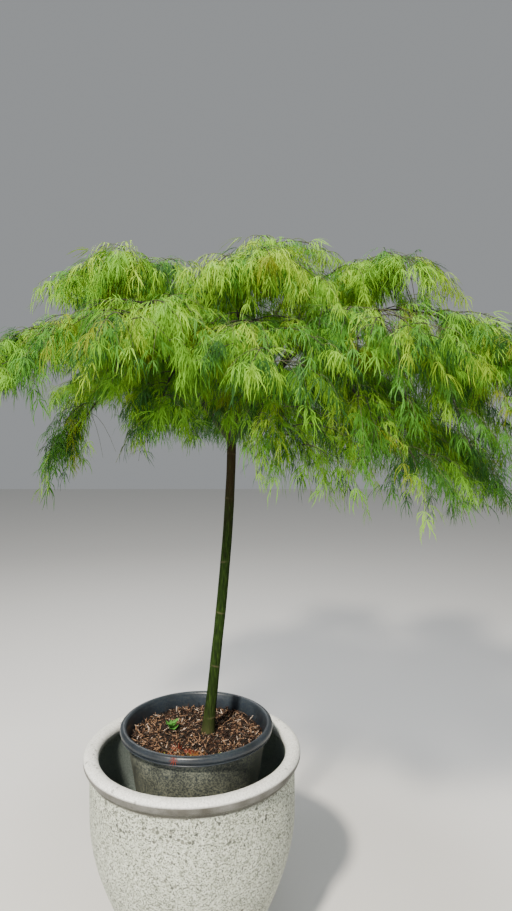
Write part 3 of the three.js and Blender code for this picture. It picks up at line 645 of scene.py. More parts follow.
def buildLitter(shape):
    # cut leaves that dropped on the bark in front of the stem, and one caught on the pot's rim
    rng = np.random.default_rng(shape["seed"])
    local, faces = flatLeaf(shape["lobes"], shape["lobeWidth"])
    rows, kinds = [], []
    for k in range(shape["count"]):
        x = shape["middle"][0] + rng.uniform(-1, 1) * shape["spread"][0]
        y = shape["middle"][1] + rng.uniform(-1, 1) * shape["spread"][1]
        turn, length = rng.uniform(0, 2 * np.pi), rng.uniform(*shape["length"])
        out = unit(np.array([np.cos(turn), np.sin(turn), rng.uniform(-0.1, 0.25)]))
        side = np.array([-np.sin(turn), np.cos(turn), 0])
        rows.append(layLeaf(local, np.array([x, y, bedHeight(x, y) + shape["lift"]]), out, side, length))
        kinds.append(k % 3)
    angle = np.radians(shape["rimBearing"])
    outward = np.array([np.cos(angle), np.sin(angle), 0])
    side = np.array([-np.sin(angle), np.cos(angle), 0])
    onRim = np.array([potShape["centre"][0], 0, potShape["rimTop"] - 0.002]) + outward * shape["rimRadius"]
    rows.append(layLeaf(local, onRim, unit(0.35 * outward - up), side, shape["rimLength"]))
    kinds.append(0)
    shift = (np.arange(len(rows)) * len(local))[:, None, None]
    addPiece("fallenLeaves", np.concatenate(rows), [(faces + shift).reshape(-1, 3)], litterLeaves,
             smooth=False, faceMaterial=np.repeat(kinds, len(faces)))


buildSeedling(seedling)
buildLitter(litter)
print("pots and bark built")

# The tree's limbs, grown by the same rule as its solids, in millimetres

crown = {"axisX": 112, "axisY": 13}
trunk = {"footX": 43, "footRadius": 21, "flareHeight": 45, "stemRadius": 15.5, "neckRadius": 12,
         "graftHeight": 1515, "graftRadius": 17.5, "graftSpread": 32, "top": 1560, "soilTop": 634,
         "bend": 1.15}
limb = {"rootRadius": 7.2, "tipRadius": 3.4, "sideRoot": 5.2, "sideTip": 3.0, "leaveReach": 0.36,
        "arriveReach": 0.34, "sway": 9, "swayPace": 4.2, "swayStep": 1.7, "steps": 40, "sides": 14}
stemSize = {"rootRadius": 3.0, "tipRadius": 1.1, "steps": 24, "sides": 8}

# One row a bough: its name and bearing in degrees, the limb that it leaves and at which share of it, the
# reach and height of its tip, the reach and height where the stem of its mass ends, the slopes in degrees at
# which it leaves and arrives, and the length and number of the twigs in its mass.
boughColumns = ("name", "bearing", "parent", "tip", "reach", "fall", "leave", "arrive", "spread", "twigs")
boughRows = [
    ("left", 178, ("trunk", 0.90), (350, 1800), 605, 1700, 52, 6, 200, 6),
    ("left_front", 214, ("front_left", 0.30), (350, 1770), 575, 1650, 34, 4, 190, 6),
    ("front_left", 248, ("trunk", 0.955), (320, 1800), 545, 1725, 54, 0, 180, 6),
    ("front", 281, ("trunk", 0.91), (300, 1765), 520, 1640, 50, -2, 180, 6),
    ("front_right", 311, ("right", 0.28), (345, 1790), 575, 1705, 38, 0, 190, 6),
    ("right", 340, ("trunk", 0.945), (400, 1810), 690, 1690, 48, 4, 200, 6),
    ("right_back", 14, ("trunk", 0.905), (400, 1770), 690, 1635, 48, 4, 200, 6),
    ("back_right", 50, ("trunk", 0.95), (350, 1790), 625, 1660, 52, 2, 200, 6),
    ("back", 92, ("trunk", 0.90), (330, 1805), 590, 1720, 52, 2, 200, 6),
    ("back_left", 135, ("trunk", 0.95), (345, 1785), 610, 1650, 50, 2, 200, 6),
    ("top", 320, ("trunk", 1), (40, 1895), 150, 1995, 86, 62, 195, 7),
    ("top_left", 170, ("left", 0.34), (200, 1912), 370, 1950, 66, 26, 165, 7),
    ("top_front_left", 230, ("front_left", 0.42), (215, 1885), 385, 1900, 68, 22, 175, 6),
    ("top_front", 282, ("front", 0.38), (200, 1875), 385, 1880, 68, 22, 175, 6),
    ("top_right", 345, ("right", 0.44), (265, 1912), 470, 1945, 62, 24, 175, 7),
    ("top_back_right", 42, ("back_right", 0.4), (245, 1910), 470, 1945, 64, 24, 185, 6),
    ("top_back", 108, ("back", 0.4), (235, 1910), 450, 1950, 64, 24, 185, 6),
    ("low_left", 188, ("left", 0.62), (345, 1610), 455, 1455, -20, -56, 130, 6),
    ("low_front_left", 240, ("left_front", 0.36), (285, 1630), 352, 1540, -22, -42, 80, 3),
    ("low_front_right", 291, ("front", 0.55), (290, 1595), 430, 1470, -26, -50, 150, 6),
    ("low_right", 325, ("front_right", 0.5), (380, 1600), 545, 1435, -22, -45, 160, 6),
    ("low_right_back", 358, ("right_back", 0.55), (440, 1605), 625, 1455, -18, -46, 155, 5),
    ("low_back_right", 42, ("back_right", 0.52), (370, 1615), 550, 1490, -22, -42, 155, 5),
    ("low_back", 98, ("back", 0.5), (345, 1620), 500, 1510, -22, -42, 155, 5),
    ("low_back_left", 124, ("back_left", 0.52), (345, 1640), 485, 1560, -22, -45, 155, 5),
]
boughTable = [dict(zip(boughColumns, row)) for row in boughRows]


def makeRandom(seed):
    # the same evenly spread random numbers as the solids use: each state is the last one times a constant,
    # plus another constant
    state = seed

    def draw():
        nonlocal state
        state = (state * 1664525 + 1013904223) & 0xFFFFFFFF
        return state / 4294967296
    return draw


def polar(bearing, reach, height):
    # the place at a bearing, reach and height from the crown's own axis
    angle = np.radians(bearing)
    x, y = crown["axisX"] + reach * np.cos(angle), crown["axisY"] + reach * np.sin(angle)
    return np.array([x, y, height], float)


def trunkCentre(share):
    # the stem leans from its foot to the crown's axis, by a quarter of a sine wave
    share = np.asarray(share, float)
    bend = np.sin(share * np.pi / 2) ** trunk["bend"]
    height = trunk["soilTop"] + share * (trunk["top"] - trunk["soilTop"])
    x = trunk["footX"] + (crown["axisX"] - trunk["footX"]) * bend
    return np.stack([x, np.full_like(x, crown["axisY"]), height], -1)


def trunkRadius(share):
    # an even taper, a flare that dies away above the foot, and the bell-shaped swelling of the graft
    height = share * (trunk["top"] - trunk["soilTop"])
    flare = (trunk["footRadius"] - trunk["stemRadius"]) * np.exp(-height / trunk["flareHeight"])
    taper = trunk["stemRadius"] + (trunk["neckRadius"] - trunk["stemRadius"]) * share
    fromGraft = (trunk["soilTop"] + height - trunk["graftHeight"]) / trunk["graftSpread"]
    return taper + flare + (trunk["graftRadius"] - trunk["neckRadius"]) * np.exp(-fromGraft ** 2)


def placeAlong(chain, share):
    # the place at a share of the line's length; past either end it is that end
    lengths = np.concatenate([[0], np.cumsum(np.linalg.norm(np.diff(chain, axis=0), axis=1))])
    return np.array([np.interp(np.asarray(share) * lengths[-1], lengths, chain[:, k]) for k in range(3)]).T


def aheadOn(path, share, step):
    # the level direction in which a limb runs on at a share of its length
    return unit((placeAlong(path, share + step) - placeAlong(path, share - step)) * [1, 1, 0])


def turned(ahead, turn):
    # level directions swung round by angles
    x, y = ahead[..., 0], ahead[..., 1]
    return np.stack([x * np.cos(turn) - y * np.sin(turn), x * np.sin(turn) + y * np.cos(turn), 0 * turn], -1)


def growBough(row, order):
    # a curve from its limb to its tip at the row's two slopes, with a sway to either side that is nothing
    # at both ends
    parent, share = row["parent"]
    start = trunkCentre(share) if parent == "trunk" else placeAlong(limbs[parent], share)
    end = polar(row["bearing"], *row["tip"])
    length = np.linalg.norm(end - start)
    out = unit((end - start) * [1, 1, 0])
    leave, arrive = [out * np.cos(slope) + up * np.sin(slope)
                     for slope in np.radians([row["leave"], row["arrive"]])]
    t = np.linspace(0, 1, limb["steps"] + 1)
    path = bezier([start, start + leave * limb["leaveReach"] * length,
                   end - arrive * limb["arriveReach"] * length, end], t)
    sideways = np.cross(up, out)
    sway = limb["sway"] * np.sin(limb["swayPace"] * t + limb["swayStep"] * order) * 4 * t * (1 - t)
    return path + sway[:, None] * sideways, sideways


def growStem(row, bough):
    # the stem of a mass: on from the bough's tip along its last direction, and over to where the row ends it
    tip = bough[-1]
    along = unit(bough[-1] - bough[-3])
    end = polar(row["bearing"], row["reach"], row["fall"])
    bend = tip + along * 0.5 * np.linalg.norm(end - tip)
    return bezier([tip, bend, end], np.linspace(0, 1, stemSize["steps"] + 1))


def growMainTwigs(row, stem, order):
    # the twigs that the solids have too, to alternate sides: start, level direction, length, rise and droop
    draw = makeRandom(101 + 17 * order)
    rows = []
    for i in range(row["twigs"]):
        share = (i + 0.35) / (row["twigs"] - 0.3)
        turn = np.radians((1 if i % 2 else -1) * (38 + 40 * draw()))
        length = row["spread"] * (0.75 + 0.45 * draw()) * (1 - 0.3 * share)
        rows.append((placeAlong(stem, share), turned(aheadOn(stem, share, 0.1), turn), length,
                     0.2 + 0.25 * draw(), 0.5 + 0.3 * draw()))
    return rows


limbs, boughSides, stems, mainTwigs = {}, {}, {}, []
# boughs that leave the trunk come first, since the others grow on from them
for k in sorted(range(len(boughTable)), key=lambda k: boughTable[k]["parent"][0] != "trunk"):
    limbs[boughTable[k]["name"]], boughSides[boughTable[k]["name"]] = growBough(boughTable[k], k)
for k, row in enumerate(boughTable):
    stems[row["name"]] = growStem(row, limbs[row["name"]])
    mainTwigs += growMainTwigs(row, stems[row["name"]], k)
print("limbs grown", len(limbs), "main twigs", len(mainTwigs))


# Bark: the trunk and the boughs with their relief

# scars are the places of the old buds' rings, as shares of the stem's height
trunkRelief = {"rings": 460, "sides": 56, "grain": 0.022, "lumps": 0.035, "scar": 0.045,
               "scars": [0.055, 0.215, 0.385, 0.54, 0.73, 0.87], "scarSpread": 0.0022, "scarSlant": 0.0035,
               "flare": 0.09, "flareSpread": 0.03, "head": 0.08, "headAt": 0.955, "headSpread": 0.03,
               "footSpread": 0.045, "brownFrom": 0.60, "brownOver": 0.28}
boughRelief = {"knots": 0.10, "collar": 1.6, "collarSpread": 0.05, "taper": 0.8}


def buildTrunk(relief):
    # a tube along the stem whose radius grows by lumps, grain, rings at the scars, ribs at the foot and a
    # knotty head; marks tell the bark how much is scar, foot and head
    share = np.linspace(0, 1, relief["rings"])
    path = trunkCentre(share)
    path[0, 2] -= 6
    turn = np.linspace(0, 2 * np.pi, relief["sides"], endpoint=False)
    s, a = np.meshgrid(share, turn, indexing="ij")
    lumps = relief["lumps"] * softNoise(26 * s + 1.4 * np.cos(a), 2.2 * np.sin(a), 31, 3)
    grain = relief["grain"] * softNoise(7 * np.cos(a) + 5 * s, 7 * np.sin(a), 37, 3)
    scar = np.zeros_like(s)
    for k, place in enumerate(relief["scars"]):
        slant = relief["scarSlant"] * np.sin(a + 2.1 * k)
        edge = np.exp(-((s - place - slant) / relief["scarSpread"]) ** 2)
        scar += edge * (0.55 + 0.45 * np.sin(2 * a + k))
    flare = np.exp(-s / relief["flareSpread"]) * relief["flare"] * np.sin(3 * a + 0.6)
    head = np.exp(-((s - relief["headAt"]) / relief["headSpread"]) ** 2) * relief["head"]
    head = head * softNoise(3 * np.cos(a) + 40 * s, 3 * np.sin(a), 41, 2)
    radii = trunkRadius(share)[None]
    radii[0, -1] *= 0.9
    points, faces = sweepTubes(path[None], radii, relief["sides"], np.array([[0, -1.0, 0]]),
                               (lumps + grain + relief["scar"] * scar + flare + head)[None])
    # towards the head the bark turns browner and darker, partly painted shade under the crown
    brownAndShade = (s - relief["brownFrom"]) / relief["brownOver"] + 0.2 * softNoise(50 * s, 2 * a, 45, 2)
    marks = {"scar": np.clip(scar, 0, 1) * 0.5, "foot": np.exp(-s / relief["footSpread"]),
             "head": np.clip(brownAndShade, 0, 0.75)}
    # the two poles that close the tube carry no mark
    addPiece("trunkBark", points * mm, faces, [greenBark], ["trunk"],
             marks={key: np.append(values.ravel(), [0, 0]) for key, values in marks.items()})


def buildBoughs(relief):
    # tubes that taper from the root, thickest in a collar where they leave their limb, with low knots
    names = [row["name"] for row in boughTable]
    fromTrunk = np.array([row["parent"][0] == "trunk" for row in boughTable])
    t = np.linspace(0, 1, limb["steps"] + 1)
    root = np.where(fromTrunk, limb["rootRadius"], limb["sideRoot"])[:, None]
    tip = np.where(fromTrunk, limb["tipRadius"], limb["sideTip"])[:, None]
    collar = relief["collar"] * np.exp(-t / relief["collarSpread"])
    radii = tip + (root - tip) * (1 - t) ** relief["taper"] + collar
    order = np.arange(len(names))[:, None, None]
    turn = np.linspace(0, 2 * np.pi, limb["sides"], endpoint=False)
    knots = softNoise(30 * t[None, :, None] + 5 * order + np.cos(turn), np.sin(turn) + 0 * order, 43, 3)
    points, faces = sweepTubes(np.stack([limbs[name] for name in names]), radii, limb["sides"],
                               np.stack([boughSides[name] for name in names]), relief["knots"] * knots)
    addPiece("boughsBark", points * mm, faces, [boughBark], ["bough_" + name for name in names])


buildTrunk(trunkRelief)
buildBoughs(boughRelief)
print("bark built")

# Foliage: side shoots on the boughs, finer twigs on all of them, and sprays of finely cut leaves

foliage = {
    "seed": 118, "shootEvery": 46, "shootLength": (90, 180), "wispLength": (115, 180),
    "wispShares": (0.5, 0.88), "hangingLength": (105, 185), "twigletsPerTwig": 8, "twigletsPerStem": 10,
    "twigletLength": (50, 102), "hemTop": 1660, "hemDepth": 120, "hemStretch": 0.26,
    "leafPairs": 5, "leafLength": 0.080, "leafSize": (0.62, 1.20), "archingShare": 0.24, "droppedShare": 0.05,
    "keptInOpening": 0.03, "amberShare": 0.15, "twigRadii": (1.5, 0.7), "twigletRadii": (0.8, 0.38),
    "pieceTriangles": 190000,
    # how many long shoots hang from the stem of a mass, where the photo shows one tier hanging into the next
    "hangingShoots": {"right": 8, "right_back": 9, "front_right": 4, "low_right_back": 5, "top_right": 5,
                      "top_back_right": 4},
}
# places in the picture, in pixels, that are open in the crown or under its hem: middle and half sizes
openings = [(290, 358, 17, 8), (391, 316, 11, 16), (360, 338, 9, 7), (412, 281, 11, 11), (434, 326, 6, 10),
            (200, 322, 6, 5), (104, 432, 16, 24), (262, 513, 14, 17),
            (0, 478, 40, 44), (144, 494, 62, 33), (221, 486, 32, 38), (290, 534, 50, 26), (498, 542, 48, 26)]
leafKinds = [
    ("deepGreenLeaf", "#24481b", "#3a6a1a"), ("middleGreenLeaf", "#3c6a1f", "#5a911c"),
    ("freshGreenLeaf", "#57851f", "#78a91e"), ("limeGreenLeaf", "#6b9522", "#8ab824"),
    ("yellowGreenLeaf", "#7a9a25", "#96b726"), ("amberLeaf", "#5f6e14", "#808e1a"),
]
leafMaterials = [makeLeaf(*kind) for kind in leafKinds]
leafShape = {
    "stalk": 0.18, "angles": [-68, -43, -20, 0, 20, 43, 68], "angleSpread": 0.16,
    "reaches": [0.40, 0.62, 0.78, 0.82, 0.78, 0.62, 0.40], "reachSpread": (0.68, 1.10),
    # where each kind of lobe has its widths, as shares of its length, and half of each width
    "toothed": ([0.05, 0.30, 0.50, 0.72], [0.005, 0.0142, 0.007, 0.0118]),
    "plain": ([0.06, 0.48], [0.005, 0.0134]),
    "bend": 0.92, "sway": 0.24, "steps": 32, "droop": 0.06,
    "variants": 6, "hanging": {"seed": 90, "arch": 0.18}, "arching": {"seed": 97, "arch": 0.55},
}


def lobeHeading(t, angle, phase):
    # a lobe sets out at its angle, turns nearly to the leaf's own axis by its tip, and sways on the way
    return angle * (1 - leafShape["bend"] * t) + leafShape["sway"] * np.sin(2 * np.pi * t + phase)


def makeLeafShape(seed, arch):
    # seven narrow lobes fan out from the end of a thin stalk and bend towards the ground; the three in
    # the middle step in and out like teeth. x is across, y runs to the tip, z faces up and out; the
    # length is 1, and arch is how far the lobes curl over.
    rng = np.random.default_rng(seed)
    stalk, steps = leafShape["stalk"], leafShape["steps"]
    points = [[-0.006, 0, 0], [0.006, 0, 0], [0.005, stalk, 0.012], [-0.005, stalk, 0.012]]
    triangles = [[0, 1, 2], [0, 2, 3]]
    angles = np.radians(leafShape["angles"]) + rng.normal(0, leafShape["angleSpread"], 7)
    reaches = np.array(leafShape["reaches"]) * rng.uniform(*leafShape["reachSpread"], 7)
    fine = np.linspace(0, 1, steps + 1)
    for k, (angle, reach) in enumerate(zip(angles, reaches)):
        at, half = leafShape["toothed" if 1 < k < 5 else "plain"]
        count = len(at)
        at = np.array(at + [1])
        phase = 2.1 * k + seed
        heading = lobeHeading(fine, angle, phase)[:-1]
        lineX = np.concatenate([[0], np.cumsum(np.sin(heading))]) / steps * reach
        lineY = np.concatenate([[0], np.cumsum(np.cos(heading))]) / steps * reach
        x, y = np.interp(at, fine, lineX), np.interp(at, fine, lineY)
        turn = lobeHeading(at, angle, phase)
        z = 0.012 - arch * reach * at ** 2 + leafShape["droop"] * rng.normal() * at
        first = len(points)
        for j in range(count):
            dx, dy = np.cos(turn[j]) * half[j], -np.sin(turn[j]) * half[j]
            points += [[x[j] - dx, stalk + y[j] - dy, z[j]], [x[j] + dx, stalk + y[j] + dy, z[j]]]
        points.append([x[-1], stalk + y[-1], z[-1]])
        for j in range(count - 1):
            a = first + 2 * j
            triangles += [[a, a + 1, a + 3], [a, a + 3, a + 2]]
        triangles.append([first + 2 * count - 2, first + 2 * count - 1, len(points) - 1])
    return np.array(points), np.array(triangles)


def roomAhead(start, out):
    # how far it is, level, from a place to the side of the crown's box that a direction points to
    side = np.where(out[..., :2] > 0, cadHigh[:2], cadLow[:2]) / mm
    steps = np.where(np.abs(out[..., :2]) > 1e-6, out[..., :2], 1e-6)
    return np.maximum(np.min((side - start[..., :2]) / steps, axis=-1), 10)


def inOpening(points):
    # whether points in millimetres fall, as the camera sees them, inside the ellipse of an opening
    pitch = np.radians(camera["pitch"])
    away = points * mm - camera["place"]
    depth = away[..., 1] * np.cos(pitch) - away[..., 2] * np.sin(pitch)
    rise = away[..., 1] * np.sin(pitch) + away[..., 2] * np.cos(pitch)
    column = camera["widthPixels"] / 2 + camera["focalPixels"] * away[..., 0] / depth
    line = camera["heightPixels"] / 2 - camera["focalPixels"] * rise / depth
    inside = np.zeros(column.shape, bool)
    for x, y, halfWidth, halfHeight in openings:
        inside |= ((column - x) / halfWidth) ** 2 + ((line - y) / halfHeight) ** 2 < 1
    return inside


def droopingPaths(starts, heads, lengths, rises, droops, s):
    # shoots run level along their headings, while they rise with the share s and fall with its square
    lift = lengths[:, None] * (rises[:, None] * s - droops[:, None] * s ** 2)
    return starts[:, None] + heads[:, None] * (lengths[:, None] * s)[..., None] + up * lift[..., None]


def shootFrom(rng, path, share, turn, lengths):
    # where a shoot leaves a limb, its level direction, and its length, within the room ahead
    out = turned(aheadOn(path, share, 0.06), turn)
    start = placeAlong(path, share)
    return start, out, min(rng.uniform(*lengths), roomAhead(start, out))


def growShoots(rng):
    # side shoots along the outer part of each bough, to alternate sides, steeper in the crown's head; two
    # long ones on each stem that reach out past the rest, but not in the low tier; and those that hang
    shoots = []
    for row in boughTable:
        name, path, stem = row["name"], limbs[row["name"]], stems[row["name"]]
        head = name.startswith("top")
        first = 0.34 if row["parent"][0] == "trunk" and not head else 0.18
        whole = np.sum(np.linalg.norm(np.diff(path, axis=0), axis=1))
        count = int(round(whole * (0.97 - first) / foliage["shootEvery"]))
        for i in range(count):
            share = first + (0.97 - first) * (i + rng.uniform(0.1, 0.9)) / count
            turn = 2.4 * i if name == "top" else (1 if i % 2 else -1) * rng.uniform(0.6, 1.35)
            rise = rng.uniform(0.35, 0.85) if head else rng.uniform(0.10, 0.5)
            shoots.append((*shootFrom(rng, path, share, turn, foliage["shootLength"]), rise,
                           rng.uniform(0.5, 1.1)))
        for share in () if name.startswith("low") else foliage["wispShares"]:
            shoots.append((*shootFrom(rng, stem, share, rng.uniform(-0.8, 0.8), foliage["wispLength"]),
                           rng.uniform(0.3, 0.5), rng.uniform(0.4, 0.7)))
        hanging = foliage["hangingShoots"].get(name, 0)
        for k in range(hanging):
            share = 0.35 + 0.62 * (k + rng.uniform(0.2, 0.8)) / hanging
            turn = (1 if k % 2 else -1) * rng.uniform(0.3, 1.2)
            shoots.append((*shootFrom(rng, stem, share, turn, foliage["hangingLength"]),
                           rng.uniform(0.05, 0.2), rng.uniform(1.2, 1.8)))
    return shoots


def dealAlong(rng, count, last, swing):
    # shares along a limb, and turns to alternate sides; the last one is at its end and nearly straight on
    s = (np.arange(count) + rng.uniform(0.2, 0.8, count)) / count
    s[-1] = last
    side = np.where(np.arange(count) % 2, 1, -1) * rng.uniform(*swing, count)
    side[-1] = rng.uniform(-0.3, 0.3)
    return s, side


def growTwiglets(rng, twigs):
    # alternate side shoots along each twig and stem, each with its own heading, rise and droop
    starts, heads, lengths = [], [], []
    for start, out, length, rise, droop in twigs:
        count = max(3, int(round(foliage["twigletsPerTwig"] * length / 170)))
        s, side = dealAlong(rng, count, 0.98, (0.45, 1.15))
        lift = length * (rise * s - droop * s * s)
        starts.append(start + out * (length * s)[:, None] + up * lift[:, None])
        heads.append(turned(out, side))
        lengths.append(rng.uniform(*foliage["twigletLength"], count) * (1 - 0.25 * s))
    for row in boughTable:
        stem, count = stems[row["name"]], foliage["twigletsPerStem"]
        s, side = dealAlong(rng, count, 1, (0.5, 1.3))
        starts.append(placeAlong(stem, s))
        heads.append(turned(aheadOn(stem, s, 0.08), side))
        lengths.append(rng.uniform(*foliage["twigletLength"], count))
    starts, heads, lengths = np.concatenate(starts), np.concatenate(heads), np.concatenate(lengths)
    # towards the crown's hem the sprays hang longer and more steeply, but not at its back left
    hem = np.clip((foliage["hemTop"] - starts[:, 2]) / foliage["hemDepth"], 0, 1)
    hem *= 1 - np.clip((starts[:, 1] - 60) / 150, 0, 1) * np.clip((260 - starts[:, 0]) / 150, 0, 1)
    lengths = np.minimum(lengths * (1 + foliage["hemStretch"] * hem), roomAhead(starts, heads) + 12)
    rises = rng.uniform(0.10, 0.45, len(lengths)) * (1 - 0.5 * hem)
    droops = rng.uniform(0.55, 1.35, len(lengths)) + 0.30 * hem
    # no shoot ends in an opening
    ends = starts + heads * lengths[:, None] + up * (lengths * (rises - droops))[:, None]
    keep = ~inOpening(ends)
    return starts[keep], heads[keep], lengths[keep], rises[keep], droops[keep]


def buildTwigs(twigs, twiglets):
    # stems, twigs and the fine twiglets, as tubes that taper to their ends
    main = [np.array([twig[k] for twig in twigs]) for k in range(5)]
    stemPaths = np.stack([stems[row["name"]] for row in boughTable])
    share = np.linspace(0, 1, stemPaths.shape[1])
    radii = stemSize["rootRadius"] + (stemSize["tipRadius"] - stemSize["rootRadius"]) * share
    sides = np.stack([boughSides[row["name"]] for row in boughTable])
    stout = sweepTubes(stemPaths, np.repeat([radii], len(stemPaths), 0), stemSize["sides"], sides)
    thick, thin = [
        sweepTubes(droopingPaths(*shoots, s), np.repeat([root - (root - tip) * s], len(shoots[0]), 0), count,
                   np.cross(up, shoots[1]))
        for shoots, (root, tip), count, s in ((main, foliage["twigRadii"], 6, np.linspace(0, 1, 9)),
                                              (twiglets, foliage["twigletRadii"], 4, np.linspace(0, 1, 6)))]
    points, faces = joinParts([stout, thick])
    addPiece("twigs", points * mm, faces, [twigBark])
    addPiece("fineTwigs", thin[0] * mm, thin[1], [fineBark])


def placeLeaves(rng, starts, heads, lengths, rises, droops):
    # pairs along each twiglet and one at its end; some arch outward over the twig and the rest hang
    shares = np.concatenate([np.repeat(np.linspace(0.14, 0.88, foliage["leafPairs"]), 2), [1.0]])
    sides = np.array([1, -1] * foliage["leafPairs"] + [0])
    n, m = len(starts), len(shares)
    s = np.clip(shares + rng.normal(0, 0.03, (n, m)), 0.05, 1)
    place = droopingPaths(starts, heads, lengths, rises, droops, s)
    turn = sides * rng.uniform(0.5, 1.35, (n, m)) + rng.normal(0, 0.2, (n, m))
    out = turned(heads[:, None], turn)
    arching = rng.uniform(0, 1, (n, m)) < foliage["archingShare"]
    down = np.where(arching, rng.uniform(-0.10, 0.40, (n, m)), rng.uniform(0.80, 2.20, (n, m)))[..., None]
    hang = unit(out * rng.uniform(0.35, 0.85, (n, m))[..., None] - up * down)
    facing = up + out * 0.5 + rng.normal(0, 0.28, (n, m, 3))
    facing = unit(facing - np.sum(facing * hang, -1, keepdims=True) * hang)
    size = foliage["leafLength"] * rng.uniform(*foliage["leafSize"], (n, m)) * (1 - 0.12 * s)
    spray = np.repeat(np.arange(n)[:, None], m, 1)
    showing = np.zeros((n, m), bool)
    for part in (0.15, 0.55, 0.9):
        showing |= inOpening(place + hang * (part * size / mm)[..., None])
    keep = rng.uniform(0, 1, (n, m)) > foliage["droppedShare"]
    keep &= ~(showing & (rng.uniform(0, 1, (n, m)) > foliage["keptInOpening"]))
    return place[keep] * mm, hang[keep], facing[keep], size[keep], spray[keep], arching[keep]


def pickKinds(rng, starts, heads, lengths):
    # outer and upper sprays are lighter, as painted light on the crown's top and outside; in a few clumps
    # some turn amber
    ends = starts + heads * lengths[:, None]
    radial = np.clip(np.hypot(ends[:, 0] - crown["axisX"] - 30, ends[:, 1] - crown["axisY"]) / 640, 0, 1)
    height = np.clip((ends[:, 2] - 1450) / 520, 0, 1)
    # painted light: sprays higher in the crown get lighter kinds, lower ones deeper greens
    light = 0.40 + 0.26 * height + 0.04 * radial + rng.normal(0, 0.21, len(starts))
    kind = np.digitize(light, [0.34, 0.50, 0.68, 0.88])
    clump = softNoise(ends[:, 0] / 55, ends[:, 1] / 55 + ends[:, 2] / 70, 57, 2)
    amber = (clump > 0.2) & (light > 0.5) & (rng.uniform(0, 1, len(starts)) < foliage["amberShare"])
    return np.where(amber, 5, kind)


def buildFoliage():
    # shoots, twiglets and leaves in the order of their random draws, then the leaves shared out to pieces
    rng = np.random.default_rng(foliage["seed"])
    twigs = mainTwigs + growShoots(rng)
    twiglets = growTwiglets(rng, twigs)
    buildTwigs(twigs, twiglets)
    place, hang, facing, size, spray, arching = placeLeaves(rng, *twiglets)
    kinds = pickKinds(rng, *twiglets[:3])[spray]
    across = np.cross(hang, facing)
    shapes = [makeLeafShape(leafShape[way]["seed"] + k, leafShape[way]["arch"])
              for way in ("hanging", "arching") for k in range(leafShape["variants"])]
    variant = rng.integers(0, leafShape["variants"], len(place)) + leafShape["variants"] * arching
    low, high = np.array(cadLow), np.array(cadHigh)
    room = 0.02 * (high - low) + 0.006  # how far a leaf may pass the solids' box
    masses = ["mass_" + row["name"] for row in boughTable]
    total = 0
    for kind, material in enumerate(leafMaterials):
        pointRows, faceRows, shift = [], [], 0
        for v, (shape, triangles) in enumerate(shapes):
            mine = (kinds == kind) & (variant == v)
            local = shape[None] * size[mine, None, None]
            points = (place[mine, None] + local[..., :1] * across[mine, None]
                      + local[..., 1:2] * hang[mine, None] + local[..., 2:] * facing[mine, None])
            points = points[np.all((points > low - room) & (points < high + room), axis=(1, 2))]
            firsts = np.arange(len(points))[:, None, None] * len(shape)
            pointRows.append(points.reshape(-1, 3))
            faceRows.append((triangles[None] + firsts).reshape(-1, 3) + shift)
            shift += len(points) * len(shape)
        points, faces = np.concatenate(pointRows), np.concatenate(faceRows)
        # whole leaves are shared out to as few pieces as the limit on triangles allows
        parts = int(np.ceil(len(faces) / foliage["pieceTriangles"]))
        leafFaces = len(shapes[0][1])
        step = int(np.ceil(len(faces) / leafFaces / parts)) * leafFaces
        for p in range(parts):
            rows = faces[p * step:(p + 1) * step]
            used, local = np.unique(rows, return_inverse=True)
            name = material.name + ("s" if parts == 1 else "s" + str(p + 1))
            addPiece(name, points[used], [local.reshape(-1, 3)], [material],
                     masses if total == 0 else [], smooth=False)
            total += len(rows)
    print("leaves", len(place), "leaf triangles", total, "twiglets", len(twiglets[0]))


buildFoliage()

# Camera, floor and light

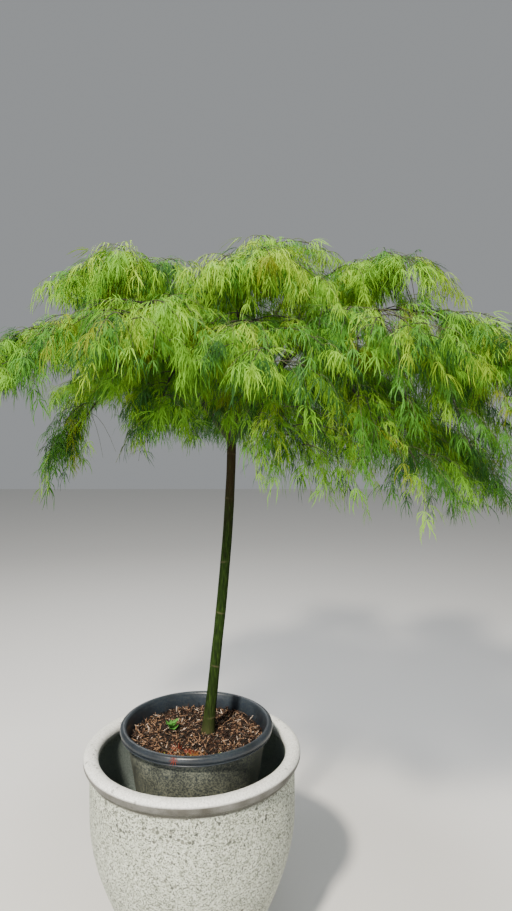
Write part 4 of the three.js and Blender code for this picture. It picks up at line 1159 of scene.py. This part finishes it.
sensorHeight = 36
lens = bpy.data.cameras.new("photoCamera")
lens.sensor_fit = "VERTICAL"
lens.sensor_height = sensorHeight
lens.lens = sensorHeight * camera["focalPixels"] / camera["heightPixels"]
viewer = bpy.data.objects.new("photoCamera", lens)
viewer.location = camera["place"]
viewer.rotation_euler = (np.radians(90 - camera["pitch"]), 0, 0)
bpy.context.scene.collection.objects.link(viewer)
bpy.context.scene.camera = viewer


def buildFloor(half):
    # Pale floor paint, rolled on: matt and plain, on one square
    material, add = startMaterial("paleFloorPaint")
    paint = add("BsdfPrincipled", {"Base Color": toLinear("#dbdad6"), "Roughness": 0.85, "IOR": 1.45})
    add("OutputMaterial", {}, {"Surface": paint})
    mesh = bpy.data.meshes.new("studioFloor")
    corners = [(-half, -half, 0), (half, -half, 0), (half, half, 0), (-half, half, 0)]
    mesh.from_pydata(corners, [], [(0, 1, 2, 3)])
    mesh.materials.append(material)
    floor = bpy.data.objects.new("studioFloor", mesh)
    bpy.context.scene.collection.objects.link(floor)


def addLight(name, place, target, size, watts, colour):
    # a round soft lamp that faces its target
    light = bpy.data.lights.new(name, "AREA")
    light.shape = "DISK"
    light.size = size
    light.energy = watts
    light.color = toLinear(colour)[:3]
    lamp = bpy.data.objects.new(name, light)
    lamp.location = place
    lamp.rotation_euler = (Vector(target) - Vector(place)).to_track_quat("-Z", "Y").to_euler()
    bpy.context.scene.collection.objects.link(lamp)


buildFloor(12)
addLight("keyLight", (-1.1, -3.2, 4.3), (0.1, 0, 1.1), 0.4, 550, "#fff6e8")
addLight("frontLight", (-1.6, -4.2, 1.2), (0.1, 0, 1.1), 2.4, 75, "#f4f6ff")
addLight("topLight", (0.3, -0.6, 5.2), (0.1, 0, 1.0), 1.6, 200, "#f6f9ff")
addLight("backLight", (-1.0, 3.4, 3.8), (0.1, 0, 1.5), 2.2, 50, "#ffffff")
world = bpy.data.worlds.new("paleStudio")
bpy.context.scene.world = world
world.use_nodes = True
background = world.node_tree.nodes["Background"]
background.inputs["Color"].default_value = toLinear("#eef2f5")
background.inputs["Strength"].default_value = 0.36
print("floor and lights set")

print("cad box", list(cadLow), list(cadHigh))
